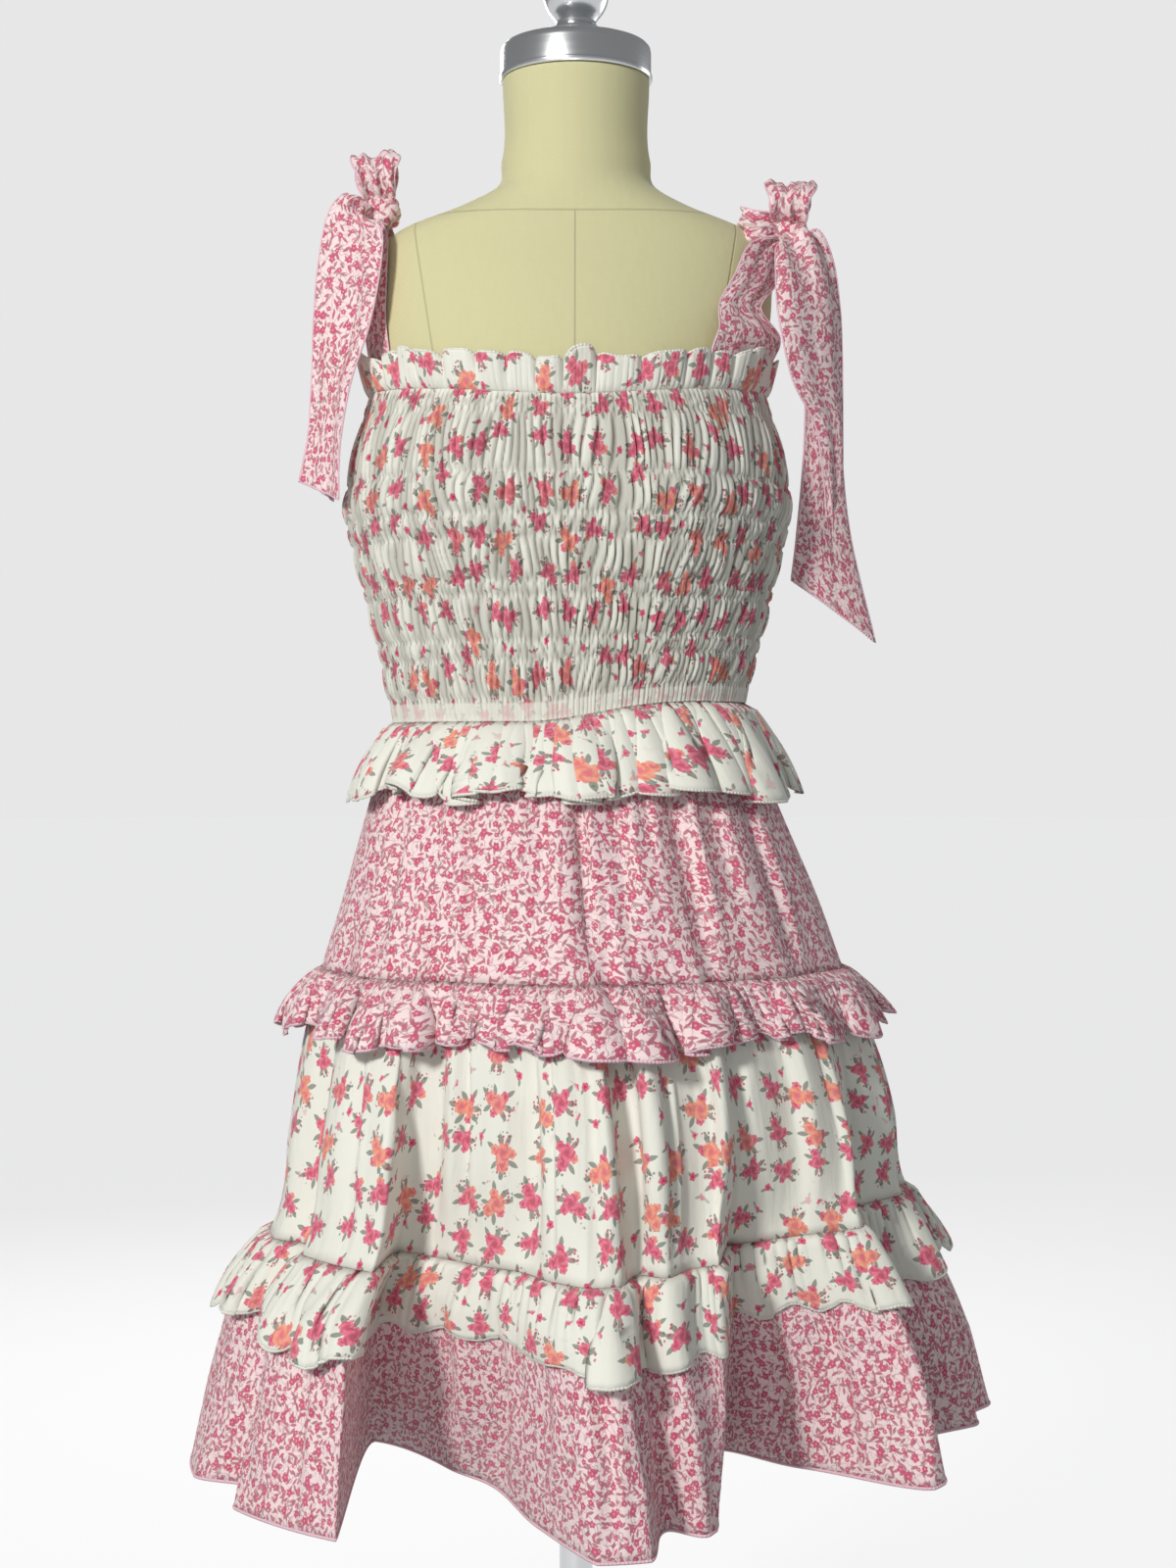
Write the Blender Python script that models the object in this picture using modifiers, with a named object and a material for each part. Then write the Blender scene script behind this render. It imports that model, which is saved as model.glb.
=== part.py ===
"""Tiered sundress on a limbless dress form, in metres.

The origin is on the floor, under the middle of the base. +Z is up, the front faces -Y, and the
viewer's right is +X. Angles run round the body from the front, positive towards +X.
"""
import math
from collections import namedtuple

import bpy
import bmesh
from mathutils import Vector

OBJECT_NAME = "sundress_on_form"

# Walls and gaps
SEAM_GAP = 0.0003
BODICE_WALL = 0.0012
SKIRT_WALL = 0.0014
RUFFLE_WALL = 0.0012
TIE_WALL = 0.0013
BODY_TO_CLOTH = 0.0008

# Heights of the seams
WAIST = 1.0400
SEAM_MIDDLE = 0.8590
SEAM_LOWER = 0.6650
HEM = 0.4950
BODICE_TOP = 1.2710
BODICE_TOP_RISE = 0.0130
HEADING_HEIGHT = 0.0265

# Columns round the body
BODY_COLUMNS = 36
GATHER_COLUMNS = 108
HEADING_COLUMNS = 90
SKIRT_COLUMNS = 72

# The form's own sections; bust is how far the two mounds stand forward
Section = namedtuple("Section", "height shift half_width front back bust")
BODY = [
    Section(0.8000, -0.004, 0.148, 0.098, 0.104, 0.000),
    Section(0.8120, -0.004, 0.158, 0.106, 0.112, 0.000),
    Section(0.8600, -0.005, 0.164, 0.110, 0.118, 0.000),
    Section(0.9200, -0.005, 0.156, 0.107, 0.112, 0.000),
    Section(0.9900, -0.006, 0.136, 0.098, 0.092, 0.000),
    Section(1.0403, -0.006, 0.1285, 0.093, 0.082, 0.000),
    Section(1.0690, -0.006, 0.1325, 0.097, 0.085, 0.000),
    Section(1.1130, -0.006, 0.1430, 0.105, 0.092, 0.001),
    Section(1.1550, -0.006, 0.1530, 0.113, 0.099, 0.005),
    Section(1.2005, -0.006, 0.1630, 0.117, 0.105, 0.010),
    Section(1.2365, -0.006, 0.1575, 0.113, 0.107, 0.009),
    Section(1.2900, -0.006, 0.1455, 0.102, 0.107, 0.002),
    Section(1.3350, -0.005, 0.1500, 0.088, 0.102, 0.000),
    Section(1.3700, -0.004, 0.1500, 0.076, 0.090, 0.000),
    Section(1.3950, -0.003, 0.1430, 0.066, 0.076, 0.000),
    Section(1.4080, -0.002, 0.1280, 0.062, 0.068, 0.000),
    Section(1.4230, -0.001, 0.0890, 0.058, 0.062, 0.000),
    Section(1.4360, 0.000, 0.0630, 0.056, 0.057, 0.000),
    Section(1.4600, 0.000, 0.0555, 0.0545, 0.0550, 0.000),
    Section(1.5195, 0.000, 0.0548, 0.0540, 0.0545, 0.000),
]
BUST_ANGLE = math.radians(36.0)
BUST_SPREAD = math.radians(20.0)

# Elastic rows of the bodice from waist to top, and how far the gathers puff out at each level
Row = namedtuple("Row", "height crest trough")
BODICE_ROWS = [
    Row(1.0403, 0.0009, 0.0004),
    Row(1.0554, 0.0010, 0.0001),
    Row(1.0690, 0.0034, 0.0006),
    Row(1.0830, 0.0010, 0.0001),
    Row(1.0974, 0.0010, 0.0001),
    Row(1.1130, 0.0036, 0.0006),
    Row(1.1290, 0.0010, 0.0001),
    Row(1.1396, 0.0010, 0.0001),
    Row(1.1550, 0.0036, 0.0006),
    Row(1.1700, 0.0010, 0.0001),
    Row(1.1860, 0.0010, 0.0001),
    Row(1.2005, 0.0036, 0.0006),
    Row(1.2150, 0.0012, 0.0001),
    Row(1.2365, 0.0042, 0.0008),
    Row(1.2580, 0.0010, 0.0001),
    Row(1.2710, 0.0016, 0.0012),
]
BODICE_LEVELS = [1.0403, 1.0690, 1.1130, 1.1550, 1.2005, 1.2365, 1.2710]

# The skirt's plan before its folds
SKIRT = [
    Section(1.0400, -0.006, 0.1310, 0.0955, 0.0845, 0.000),
    Section(1.0200, -0.005, 0.1380, 0.1060, 0.0980, 0.000),
    Section(0.9580, -0.001, 0.1600, 0.1320, 0.1260, 0.000),
    Section(0.9050, 0.003, 0.1790, 0.1520, 0.1480, 0.000),
    Section(0.8590, 0.005, 0.1950, 0.1680, 0.1640, 0.000),
    Section(0.8100, 0.010, 0.2110, 0.1890, 0.1830, 0.000),
    Section(0.7400, 0.013, 0.2260, 0.2080, 0.2000, 0.000),
    Section(0.6650, 0.011, 0.2390, 0.2220, 0.2130, 0.000),
    Section(0.6350, 0.008, 0.2560, 0.2370, 0.2270, 0.000),
    Section(0.5800, 0.013, 0.2780, 0.2500, 0.2400, 0.000),
    Section(0.4950, 0.015, 0.3020, 0.2570, 0.2480, 0.000),
]

# Hanging folds: the height where each starts, its angle there and at the hem, how far it
# reaches to either side, its depth at the hem, how late it deepens (1 is evenly), how far the
# direction it is drawn in is turned from the axis, and its roundness (1 has straight flanks)
Fold = namedtuple("Fold", "start top_angle hem_angle before after depth growth turn roundness")
FOLDS = [
    Fold(1.035, -36.0, -33.0, 6.5, 33.0, 0.245, 2.9, 38.0, 1.15),
    Fold(1.035, 3.5, 12.5, 5.0, 4.5, 0.050, 1.5, 0.0, 2.0),
    Fold(0.950, 17.0, 20.0, 9.0, 16.0, 0.050, 1.2, -20.0, 2.0),
    Fold(1.035, 38.0, 23.5, 5.5, 31.0, 0.170, 2.5, -18.0, 1.3),
    Fold(1.010, 62.0, 70.0, 14.0, 19.0, 0.060, 1.6, 0.0, 2.0),
    Fold(0.870, -10.0, -14.0, 6.5, 6.5, 0.014, 1.0, 0.0, 2.0),
    Fold(1.020, -66.0, -68.0, 9.0, 8.0, 0.034, 1.4, 0.0, 2.0),
    Fold(0.930, 84.0, 88.0, 7.0, 7.0, 0.020, 1.2, 0.0, 2.0),
    Fold(0.900, -96.0, -100.0, 8.0, 8.0, 0.028, 1.2, 0.0, 2.0),
    Fold(1.020, 104.0, 108.0, 8.0, 8.0, 0.060, 1.6, 0.0, 2.0),
    Fold(1.030, 130.0, 133.0, 9.0, 12.0, 0.095, 2.2, -8.0, 2.0),
    Fold(1.020, 154.0, 156.0, 7.5, 7.5, 0.050, 1.6, 0.0, 2.0),
    Fold(1.030, 178.0, 181.0, 9.0, 11.0, 0.100, 2.2, 6.0, 2.0),
    Fold(1.010, 202.0, 205.0, 7.5, 7.5, 0.055, 1.6, 0.0, 2.0),
    Fold(1.030, 226.0, 228.0, 11.0, 9.5, 0.095, 2.2, 8.0, 2.0),
    Fold(1.020, 245.0, 246.0, 7.5, 7.5, 0.055, 1.6, 0.0, 2.0),
]

# Columns stand closer where folds are: how strongly, beside a fold of this depth and reach
FOLD_CROWDING = 1.3
USUAL_DEPTH = 0.1
USUAL_REACH = 16.0
CROWDING_LEVEL = 0.7
ANGLE_STEPS = 1440

# The skirt rides up on the right below this height, and as far as this at the side
LIFT_START = 0.8000
LIFT_FULL = 0.6650
LIFT = 0.0280

TIER_ROWS = {
    "skirt_tier_top": [WAIST, 1.0200, 0.9580, SEAM_MIDDLE + SEAM_GAP],
    "skirt_tier_middle": [SEAM_MIDDLE, 0.8350, 0.8080, 0.7400, SEAM_LOWER + SEAM_GAP],
    "skirt_tier_hem": [SEAM_LOWER, 0.6500, 0.6350, 0.6050, 0.5500, HEM],
}

# Sewn-on ruffles: the tier beneath, the heights of their rows down to the edge, how far the
# edge flares, its waves, how deep they are and how much the edge rises and falls
Ruffle = namedtuple("Ruffle", "tier heights flare waves wave_depth edge_change")
RUFFLES = {
    "ruffle_waist": Ruffle("skirt_tier_top", (WAIST - SEAM_GAP, 1.0300, 1.0200, 0.9897),
                           0.0150, 20, 0.0055, 0.004),
    "ruffle_middle": Ruffle("skirt_tier_middle", (SEAM_MIDDLE - SEAM_GAP, 0.8470, 0.8350, 0.8187),
                            0.0150, 17, 0.0060, 0.005),
    "ruffle_lower": Ruffle("skirt_tier_hem", (SEAM_LOWER - SEAM_GAP, 0.6500, 0.6350, 0.6127),
                           0.0110, 18, 0.0055, 0.005),
}
EDGE_WAVES = 7

# How a ruffle springs out below its seam, stands off its tier, and flattens inside a fold
RUFFLE_SPRING = 2.2
RUFFLE_STAND_OFF = 0.0007
RUFFLE_FOLD_GAP = 0.012
RUFFLE_IN_FOLD = 0.014
SHARPEST_MITRE = -0.55

HEADING_WAVES = 24
HEADING_FLARE = 0.0060
HEADING_WAVE_DEPTH = 0.0026
HEADING_STAND_OFF = 0.0025
HEADING_STEPS = (1.0, 0.5, 0.0)
HEADING_RISE_CHANGE = 0.10

# Metal neck cap, ball knob, pole and base, from the top down
NECK_CAP = [(0.0, 1.5480), (0.0350, 1.5478), (0.0520, 1.5462), (0.0560, 1.5430), (0.0562, 1.5225),
            (0.0566, 1.5205), (0.0566, 1.5198), (0.0, 1.5198)]
KNOB_RADIUS = 0.0245
KNOB_CENTRE = 1.5850
KNOB_FOOT = 1.5483
KNOB_COLLAR = 0.0190
POLE_RADIUS = 0.0125
FLANGE = [(0.0, 0.7997), (0.0450, 0.7997), (0.0450, 0.7940), (0.0220, 0.7900), (0.0220, 0.7700),
          (POLE_RADIUS + SEAM_GAP, 0.7700)]
POLE_FOOT = 0.0203
POLE_TOP = 0.7937
BASE = [(0.0, 0.0200), (0.0300, 0.0200), (0.1700, 0.0140), (0.1880, 0.0110), (0.1920, 0.0070),
        (0.1920, 0.0000), (0.0, 0.0000)]
TURNED_STEPS = 24

# Ties of the two shoulder bows
KNOT_RADIUS = 0.0130
KNOT_GAP = 0.0005
TIE_START_WIDTH = 0.0070
KNOT_LEFT = Vector((-0.1440, -0.0080, 1.4250))
KNOT_RIGHT = Vector((0.1520, -0.0080, 1.4220))
RIBBON_COLUMNS = 4
ON_RIM = 0.0

# A strap that lies on the form: its two edges' angles and how far it stands off, by height,
# down to the bodice's rim
StrapRow = namedtuple("StrapRow", "height edge_a edge_b stand_off")
STRAPS = {
    "tie_front_left": (KNOT_LEFT, [
        StrapRow(1.4060, -80.0, -88.0, 0.0150),
        StrapRow(1.3950, -77.0, -88.0, 0.0065),
        StrapRow(1.3700, -74.0, -90.0, 0.0030),
        StrapRow(1.3350, -72.0, -92.0, 0.0018),
        StrapRow(1.3050, -70.0, -94.0, 0.0011),
        StrapRow(ON_RIM, -69.0, -95.0, 0.0011),
    ]),
    "tie_front_right": (KNOT_RIGHT, [
        StrapRow(1.4040, 79.0, 87.0, 0.0180),
        StrapRow(1.3930, 74.0, 86.0, 0.0080),
        StrapRow(1.3700, 68.0, 85.0, 0.0035),
        StrapRow(1.3350, 61.0, 84.0, 0.0018),
        StrapRow(1.3050, 56.0, 83.0, 0.0011),
        StrapRow(ON_RIM, 54.0, 82.0, 0.0011),
    ]),
    "tie_back_left": (KNOT_LEFT, [
        StrapRow(1.4070, -94.0, -101.0, 0.0130),
        StrapRow(1.3950, -95.0, -106.0, 0.0060),
        StrapRow(1.3700, -97.0, -113.0, 0.0030),
        StrapRow(1.3350, -100.0, -120.0, 0.0018),
        StrapRow(1.3050, -104.0, -128.0, 0.0011),
        StrapRow(ON_RIM, -105.0, -130.0, 0.0011),
    ]),
    "tie_back_right": (KNOT_RIGHT, [
        StrapRow(1.4050, 93.0, 100.0, 0.0170),
        StrapRow(1.3940, 94.0, 105.0, 0.0075),
        StrapRow(1.3700, 96.0, 112.0, 0.0035),
        StrapRow(1.3350, 99.0, 119.0, 0.0018),
        StrapRow(1.3050, 103.0, 127.0, 0.0011),
        StrapRow(ON_RIM, 104.0, 129.0, 0.0011),
    ]),
}

# Free ribbons that hang from a knot: outer and inner edge of each row, and its crown
Edges = namedtuple("Edges", "outer inner crown")
RIBBONS = {
    "bow_drape_left": (KNOT_LEFT, [
        Edges((-0.170, -0.022, 1.4330), (-0.154, -0.036, 1.4110), 0.003),
        Edges((-0.184, -0.024, 1.4140), (-0.142, -0.050, 1.3960), 0.005),
        Edges((-0.191, -0.026, 1.3750), (-0.143, -0.060, 1.3650), 0.006),
        Edges((-0.194, -0.028, 1.3300), (-0.150, -0.062, 1.3250), 0.005),
        Edges((-0.195, -0.030, 1.2900), (-0.164, -0.058, 1.2850), 0.003),
        Edges((-0.197, -0.030, 1.2500), (-0.171, -0.054, 1.2450), 0.003),
        Edges((-0.204, -0.028, 1.2180), (-0.172, -0.052, 1.2020), 0.002),
    ]),
    "bow_tail_left": (KNOT_LEFT, [
        Edges((-0.168, 0.014, 1.4200), (-0.160, 0.000, 1.4120), 0.001),
        Edges((-0.182, 0.016, 1.3900), (-0.170, -0.004, 1.3850), 0.002),
        Edges((-0.188, 0.014, 1.3300), (-0.174, -0.008, 1.3250), 0.003),
        Edges((-0.191, 0.012, 1.2700), (-0.178, -0.012, 1.2650), 0.003),
        Edges((-0.193, 0.010, 1.2150), (-0.181, -0.014, 1.2050), 0.002),
    ]),
    "bow_drape_right": (KNOT_RIGHT, [
        Edges((0.176, -0.022, 1.4150), (0.156, -0.036, 1.4020), 0.003),
        Edges((0.190, -0.022, 1.3880), (0.152, -0.050, 1.3780), 0.005),
        Edges((0.195, -0.024, 1.3450), (0.153, -0.062, 1.3400), 0.006),
        Edges((0.197, -0.026, 1.2950), (0.162, -0.062, 1.2900), 0.004),
        Edges((0.198, -0.028, 1.2600), (0.175, -0.054, 1.2550), 0.003),
        Edges((0.197, -0.030, 1.2200), (0.181, -0.050, 1.2180), 0.002),
        Edges((0.190, -0.038, 1.1980), (0.184, -0.046, 1.1900), 0.001),
    ]),
    "bow_tail_right": (KNOT_RIGHT, [
        Edges((0.178, 0.016, 1.4160), (0.168, 0.002, 1.4080), 0.001),
        Edges((0.191, 0.020, 1.3850), (0.172, 0.000, 1.3800), 0.003),
        Edges((0.197, 0.022, 1.3200), (0.172, 0.000, 1.3150), 0.004),
        Edges((0.201, 0.024, 1.2500), (0.171, 0.000, 1.2450), 0.004),
        Edges((0.208, 0.026, 1.1850), (0.166, 0.002, 1.1850), 0.004),
        Edges((0.228, 0.026, 1.1020), (0.162, 0.006, 1.1480), 0.003),
    ]),
}

# Closed loops of the bows: which way they point, their length, opening and width
Loop = namedtuple("Loop", "knot direction spread length opening width")
LOOPS = {
    "bow_loop_left": Loop(KNOT_LEFT, (0.02, -0.05, 1.0), (0.30, 1.0, 0.0), 0.042, 0.018, 0.040),
    "bow_loop_right": Loop(KNOT_RIGHT, (0.42, -0.05, 0.80), (0.3, 1.0, 0.2), 0.026, 0.016, 0.038),
    "bow_loop_inner_right": Loop(KNOT_RIGHT, (-1.0, -0.25, 0.22), (-0.2, 1.0, 0.1), 0.026, 0.013,
                                 0.030),
}
LOOP_COLUMNS = 14
LOOP_PINCH = 0.22
LOOP_FULLNESS = 0.55
LOOP_CROWN = 0.003

# Colour, metallic and roughness of each finish
Finish = namedtuple("Finish", "red green blue metallic roughness")
FINISHES = {
    "rose_cotton": Finish(0.82, 0.76, 0.72, 0.0, 0.85),
    "ditsy_cotton": Finish(0.80, 0.42, 0.52, 0.0, 0.85),
    "linen": Finish(0.68, 0.62, 0.44, 0.0, 0.90),
    "bright_metal": Finish(0.72, 0.73, 0.75, 1.0, 0.18),
    "painted_metal": Finish(0.78, 0.77, 0.74, 0.0, 0.45),
}


def remove_everything():
    for old in list(bpy.data.objects):
        bpy.data.objects.remove(old, do_unlink=True)


def finish_material(name, finish_name):
    """A material of its own for one piece."""
    finish = FINISHES[finish_name]
    material = bpy.data.materials.new(name + "_" + finish_name)
    material.use_nodes = True
    shader = material.node_tree.nodes["Principled BSDF"]
    shader.inputs["Base Color"].default_value = (finish.red, finish.green, finish.blue, 1.0)
    shader.inputs["Metallic"].default_value = finish.metallic
    shader.inputs["Roughness"].default_value = finish.roughness
    return material


def add_piece(collection, name, mesh, finish_name):
    piece = bpy.data.objects.new(name, mesh)
    mesh.materials.append(finish_material(name, finish_name))
    mesh.shade_smooth()
    collection.objects.link(piece)
    return piece


def thicken(piece, wall, side):
    """Solidify an open sheet: side 1 grows outwards, -1 inwards, 0 both ways."""
    solid = piece.modifiers.new("wall", "SOLIDIFY")
    solid.thickness = wall
    solid.offset = side


def section_at(table, height):
    """The section at a height, straight between the table's rows."""
    rows = sorted(table, key=lambda row: row.height)
    if height <= rows[0].height:
        return rows[0]
    for low, high in zip(rows, rows[1:]):
        if height <= high.height:
            part = (height - low.height) / (high.height - low.height)
            return Section(*[a + (b - a) * part for a, b in zip(low, high)])
    return rows[-1]


def plan_radius(section, angle):
    """Radius of a section: an ellipse with its own front and back depth, and the bust."""
    depth = section.front if math.cos(angle) > 0.0 else section.back
    across = math.sin(angle) / section.half_width
    along = math.cos(angle) / depth
    radius = 1.0 / math.sqrt(across * across + along * along)
    for side in (-1.0, 1.0):
        away = (turn_between(angle, side * BUST_ANGLE)) / BUST_SPREAD
        radius += section.bust * math.exp(-away * away)
    return radius


def turn_between(angle, other):
    """The shortest turn from one angle to another."""
    return (angle - other + math.pi) % (2.0 * math.pi) - math.pi


def towards(angle):
    """The level direction at an angle round the body."""
    return Vector((math.sin(angle), -math.cos(angle), 0.0))


def fold_bell(fold, angle, part):
    """How much of a fold is felt at an angle, from 0 to 1."""
    middle = math.radians(fold.top_angle + (fold.hem_angle - fold.top_angle) * part)
    away = turn_between(angle, middle)
    reach = math.radians(fold.after if away > 0.0 else fold.before)
    if abs(away) >= reach:
        return 0.0
    return math.cos(away / reach * math.pi / 2.0) ** fold.roundness


def fold_part(fold, height):
    """How far down a fold a height lies, from 0 at its start to 1 at the hem."""
    return max(0.0, (fold.start - height) / (fold.start - HEM))


def fold_pull(angle, height):
    """How far, and which way, the hanging folds draw the skirt in at this place."""
    pull = Vector((0.0, 0.0, 0.0))
    for fold in FOLDS:
        part = fold_part(fold, height)
        if part > 0.0:
            depth = fold.depth * part ** fold.growth * fold_bell(fold, angle, part)
            pull -= towards(math.radians(fold.hem_angle + fold.turn)) * depth
    return pull


def skirt_lift(angle, height):
    """How far the skirt rides up at its right side."""
    part = (LIFT_START - height) / (LIFT_START - LIFT_FULL)
    return LIFT * min(1.0, max(0.0, part)) * max(0.0, math.sin(angle)) ** 1.5


def skirt_plan(angle, height):
    """The skirt's outer surface at a height of its cut, before it rides up."""
    section = section_at(SKIRT, height)
    point = at(angle, plan_radius(section, angle), height, section.shift)
    return point + fold_pull(angle, height)


def skirt_point(angle, height):
    """A point of the skirt's outer surface, ridden up."""
    return skirt_plan(angle, height) + Vector((0.0, 0.0, skirt_lift(angle, height)))


def point_on_tier(tier, angle, height):
    """A point on a tier's flat facets, at a height of its cut."""
    rows = TIER_ROWS[tier]
    for high, low in zip(rows, rows[1:]):
        if height >= low:
            part = (high - height) / (high - low)
            return skirt_point(angle, high).lerp(skirt_point(angle, low), part)
    raise ValueError("the height lies below the tier")


def ring_moved_out(ring, distances):
    """A ring of points moved out square to its own edges, by a distance for each point."""
    moved = []
    for index, (point, distance) in enumerate(zip(ring, distances)):
        before = point - ring[index - 1]
        after = ring[(index + 1) % len(ring)] - point
        first = Vector((before.y, -before.x, 0.0)).normalized()
        second = Vector((after.y, -after.x, 0.0)).normalized()
        mitre = (first + second) / (1.0 + max(first.dot(second), SHARPEST_MITRE))
        moved.append(point + mitre * distance)
    return moved


def skirt_angles():
    """Angles of the skirt's columns, closer together at the folds."""
    weights = []
    for step in range(ANGLE_STEPS):
        angle = 2.0 * math.pi * step / ANGLE_STEPS
        crowd = 1.0
        for fold in FOLDS:
            steepness = fold.depth / USUAL_DEPTH * USUAL_REACH / (fold.before + fold.after)
            crowd += FOLD_CROWDING * fold_bell(fold, angle, CROWDING_LEVEL) * steepness
        weights.append(crowd)
    share = sum(weights) / SKIRT_COLUMNS
    angles = []
    filled = 0.0
    for step, weight in enumerate(weights):
        if filled >= len(angles) * share and len(angles) < SKIRT_COLUMNS:
            angles.append(2.0 * math.pi * step / ANGLE_STEPS)
        filled += weight
    return angles


def even_angles(count):
    return [2.0 * math.pi * index / count for index in range(count)]


def at(angle, radius, height, shift):
    return Vector((shift + radius * math.sin(angle), -radius * math.cos(angle), height))


def ring_of_faces(bm, low, high, outward):
    """Triangles between two rings of the same count, all cut along the same diagonal."""
    count = len(low)
    for index in range(count):
        after = (index + 1) % count
        for corners in ([low[index], low[after], high[after]],
                        [low[index], high[after], high[index]]):
            bm.faces.new(corners if outward else corners[::-1])


def mesh_from(bm, name):
    mesh = bpy.data.meshes.new(name)
    bmesh.ops.recalc_face_normals(bm, faces=bm.faces)
    bm.to_mesh(mesh)
    bm.free()
    return mesh


def tube_mesh(name, rings):
    """An open tube through rings of points, from the top ring down, facing outwards."""
    bm = bmesh.new()
    rows = [[bm.verts.new(point) for point in ring] for ring in rings]
    count = len(rows[0])
    for high, low in zip(rows, rows[1:]):
        for index in range(count):
            after = (index + 1) % count
            bm.faces.new([low[index], low[after], high[after]])
            bm.faces.new([low[index], high[after], high[index]])
    mesh = bpy.data.meshes.new(name)
    bm.to_mesh(mesh)
    bm.free()
    return mesh


def make_body(collection):
    """The form's torso and neck, a closed loft through its sections."""
    bm = bmesh.new()
    rows = []
    for section in BODY:
        ring = []
        for angle in even_angles(BODY_COLUMNS):
            point = at(angle, plan_radius(section, angle), section.height, section.shift)
            ring.append(bm.verts.new(point))
        rows.append(ring)
    for low, high in zip(rows, rows[1:]):
        ring_of_faces(bm, low, high, True)
    bm.faces.new(rows[0][::-1])
    bm.faces.new(rows[-1])
    add_piece(collection, "form_body", mesh_from(bm, "form_body"), "linen")


def turned(collection, name, profile, finish_name):
    """A piece turned about the Z axis, its profile running from the top down."""
    bm = bmesh.new()
    points = [bm.verts.new((radius, 0.0, height)) for radius, height in profile]
    for first, second in zip(points, points[1:]):
        bm.edges.new((first, second))
    mesh = bpy.data.meshes.new(name)
    bm.to_mesh(mesh)
    bm.free()
    piece = add_piece(collection, name, mesh, finish_name)
    screw = piece.modifiers.new("turn", "SCREW")
    screw.steps = TURNED_STEPS
    screw.render_steps = TURNED_STEPS
    screw.use_merge_vertices = True
    screw.merge_threshold = 0.00001
    return piece


def knob_profile():
    """A ball on a short collar, from the top down."""
    profile = [(0.0, KNOB_CENTRE + KNOB_RADIUS)]
    for step in range(1, 9):
        turn = math.radians(17.0 * step)
        profile.append((KNOB_RADIUS * math.sin(turn), KNOB_CENTRE + KNOB_RADIUS * math.cos(turn)))
    profile.append((KNOB_COLLAR * 0.80, 1.5610))
    profile.append((KNOB_COLLAR, 1.5580))
    profile.append((KNOB_COLLAR, KNOB_FOOT))
    profile.append((0.0, KNOB_FOOT))
    return profile


def make_stand(collection):
    turned(collection, "neck_cap", NECK_CAP, "bright_metal")
    turned(collection, "knob", knob_profile(), "bright_metal")
    turned(collection, "base_plate", BASE, "painted_metal")
    flange = FLANGE + [(POLE_RADIUS + SEAM_GAP, POLE_TOP + SEAM_GAP), (0.0, POLE_TOP + SEAM_GAP)]
    turned(collection, "pole_flange", flange, "painted_metal")
    pole = [(0.0, POLE_TOP), (POLE_RADIUS, POLE_TOP), (POLE_RADIUS, POLE_FOOT), (0.0, POLE_FOOT)]
    turned(collection, "pole", pole, "bright_metal")


def bodice_height(angle, height):
    """The bodice's top rows rise towards the sides."""
    start = BODICE_LEVELS[-2]
    part = max(0.0, (height - start) / (BODICE_TOP - start))
    return height + BODICE_TOP_RISE * part * math.sin(angle) ** 2


def body_point(angle, height, stand_off):
    section = section_at(BODY, height)
    return at(angle, plan_radius(section, angle) + stand_off, height, section.shift)


def gather_share(column):
    """Each gather's own fullness, repeating unevenly round the body."""
    return 0.80 + 0.20 * math.sin(2.3 * column) * math.cos(0.7 * column + 1.0)


def make_bodice(collection):
    """The smocked tube: gathers raised outside, and a plain inside."""
    bm = bmesh.new()
    outer = []
    for row in BODICE_ROWS:
        ring = []
        for column, angle in enumerate(even_angles(GATHER_COLUMNS)):
            puff = row.crest * gather_share(column) if column % 2 else row.trough
            height = bodice_height(angle, row.height)
            point = body_point(angle, height, BODY_TO_CLOTH + BODICE_WALL + puff)
            ring.append(bm.verts.new(point))
        outer.append(ring)
    inner = []
    for level in BODICE_LEVELS:
        ring = []
        for angle in even_angles(BODY_COLUMNS):
            point = body_point(angle, bodice_height(angle, level), BODY_TO_CLOTH)
            ring.append(bm.verts.new(point))
        inner.append(ring)
    for low, high in zip(outer, outer[1:]):
        ring_of_faces(bm, low, high, True)
    for low, high in zip(inner, inner[1:]):
        ring_of_faces(bm, low, high, False)
    join_rims(bm, outer[0], inner[0], False)
    join_rims(bm, outer[-1], inner[-1], True)
    add_piece(collection, "bodice", mesh_from(bm, "bodice"), "rose_cotton")


def join_rims(bm, outer, inner, upwards):
    """Close a rim whose outer ring has a whole number of columns for each inner one."""
    share = len(outer) // len(inner)
    for index, corner in enumerate(inner):
        after = inner[(index + 1) % len(inner)]
        stretch = [outer[(index * share + step) % len(outer)] for step in range(share + 1)]
        for first, second in zip(stretch, stretch[1:]):
            face = [corner, first, second]
            bm.faces.new(face if upwards else face[::-1])
        face = [corner, stretch[-1], after]
        bm.faces.new(face if upwards else face[::-1])


def uneven_wave(angle, waves, seed):
    """A ruffle's waves, from -1 to 1, with uneven widths and heights."""
    drift = 0.9 * math.sin(2.0 * angle + seed) + 0.7 * math.sin(3.0 * angle + 2.0 * seed)
    swell = 0.75 + 0.25 * math.sin(5.0 * angle + 3.0 * seed)
    return swell * math.sin(waves * angle + drift)


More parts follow.
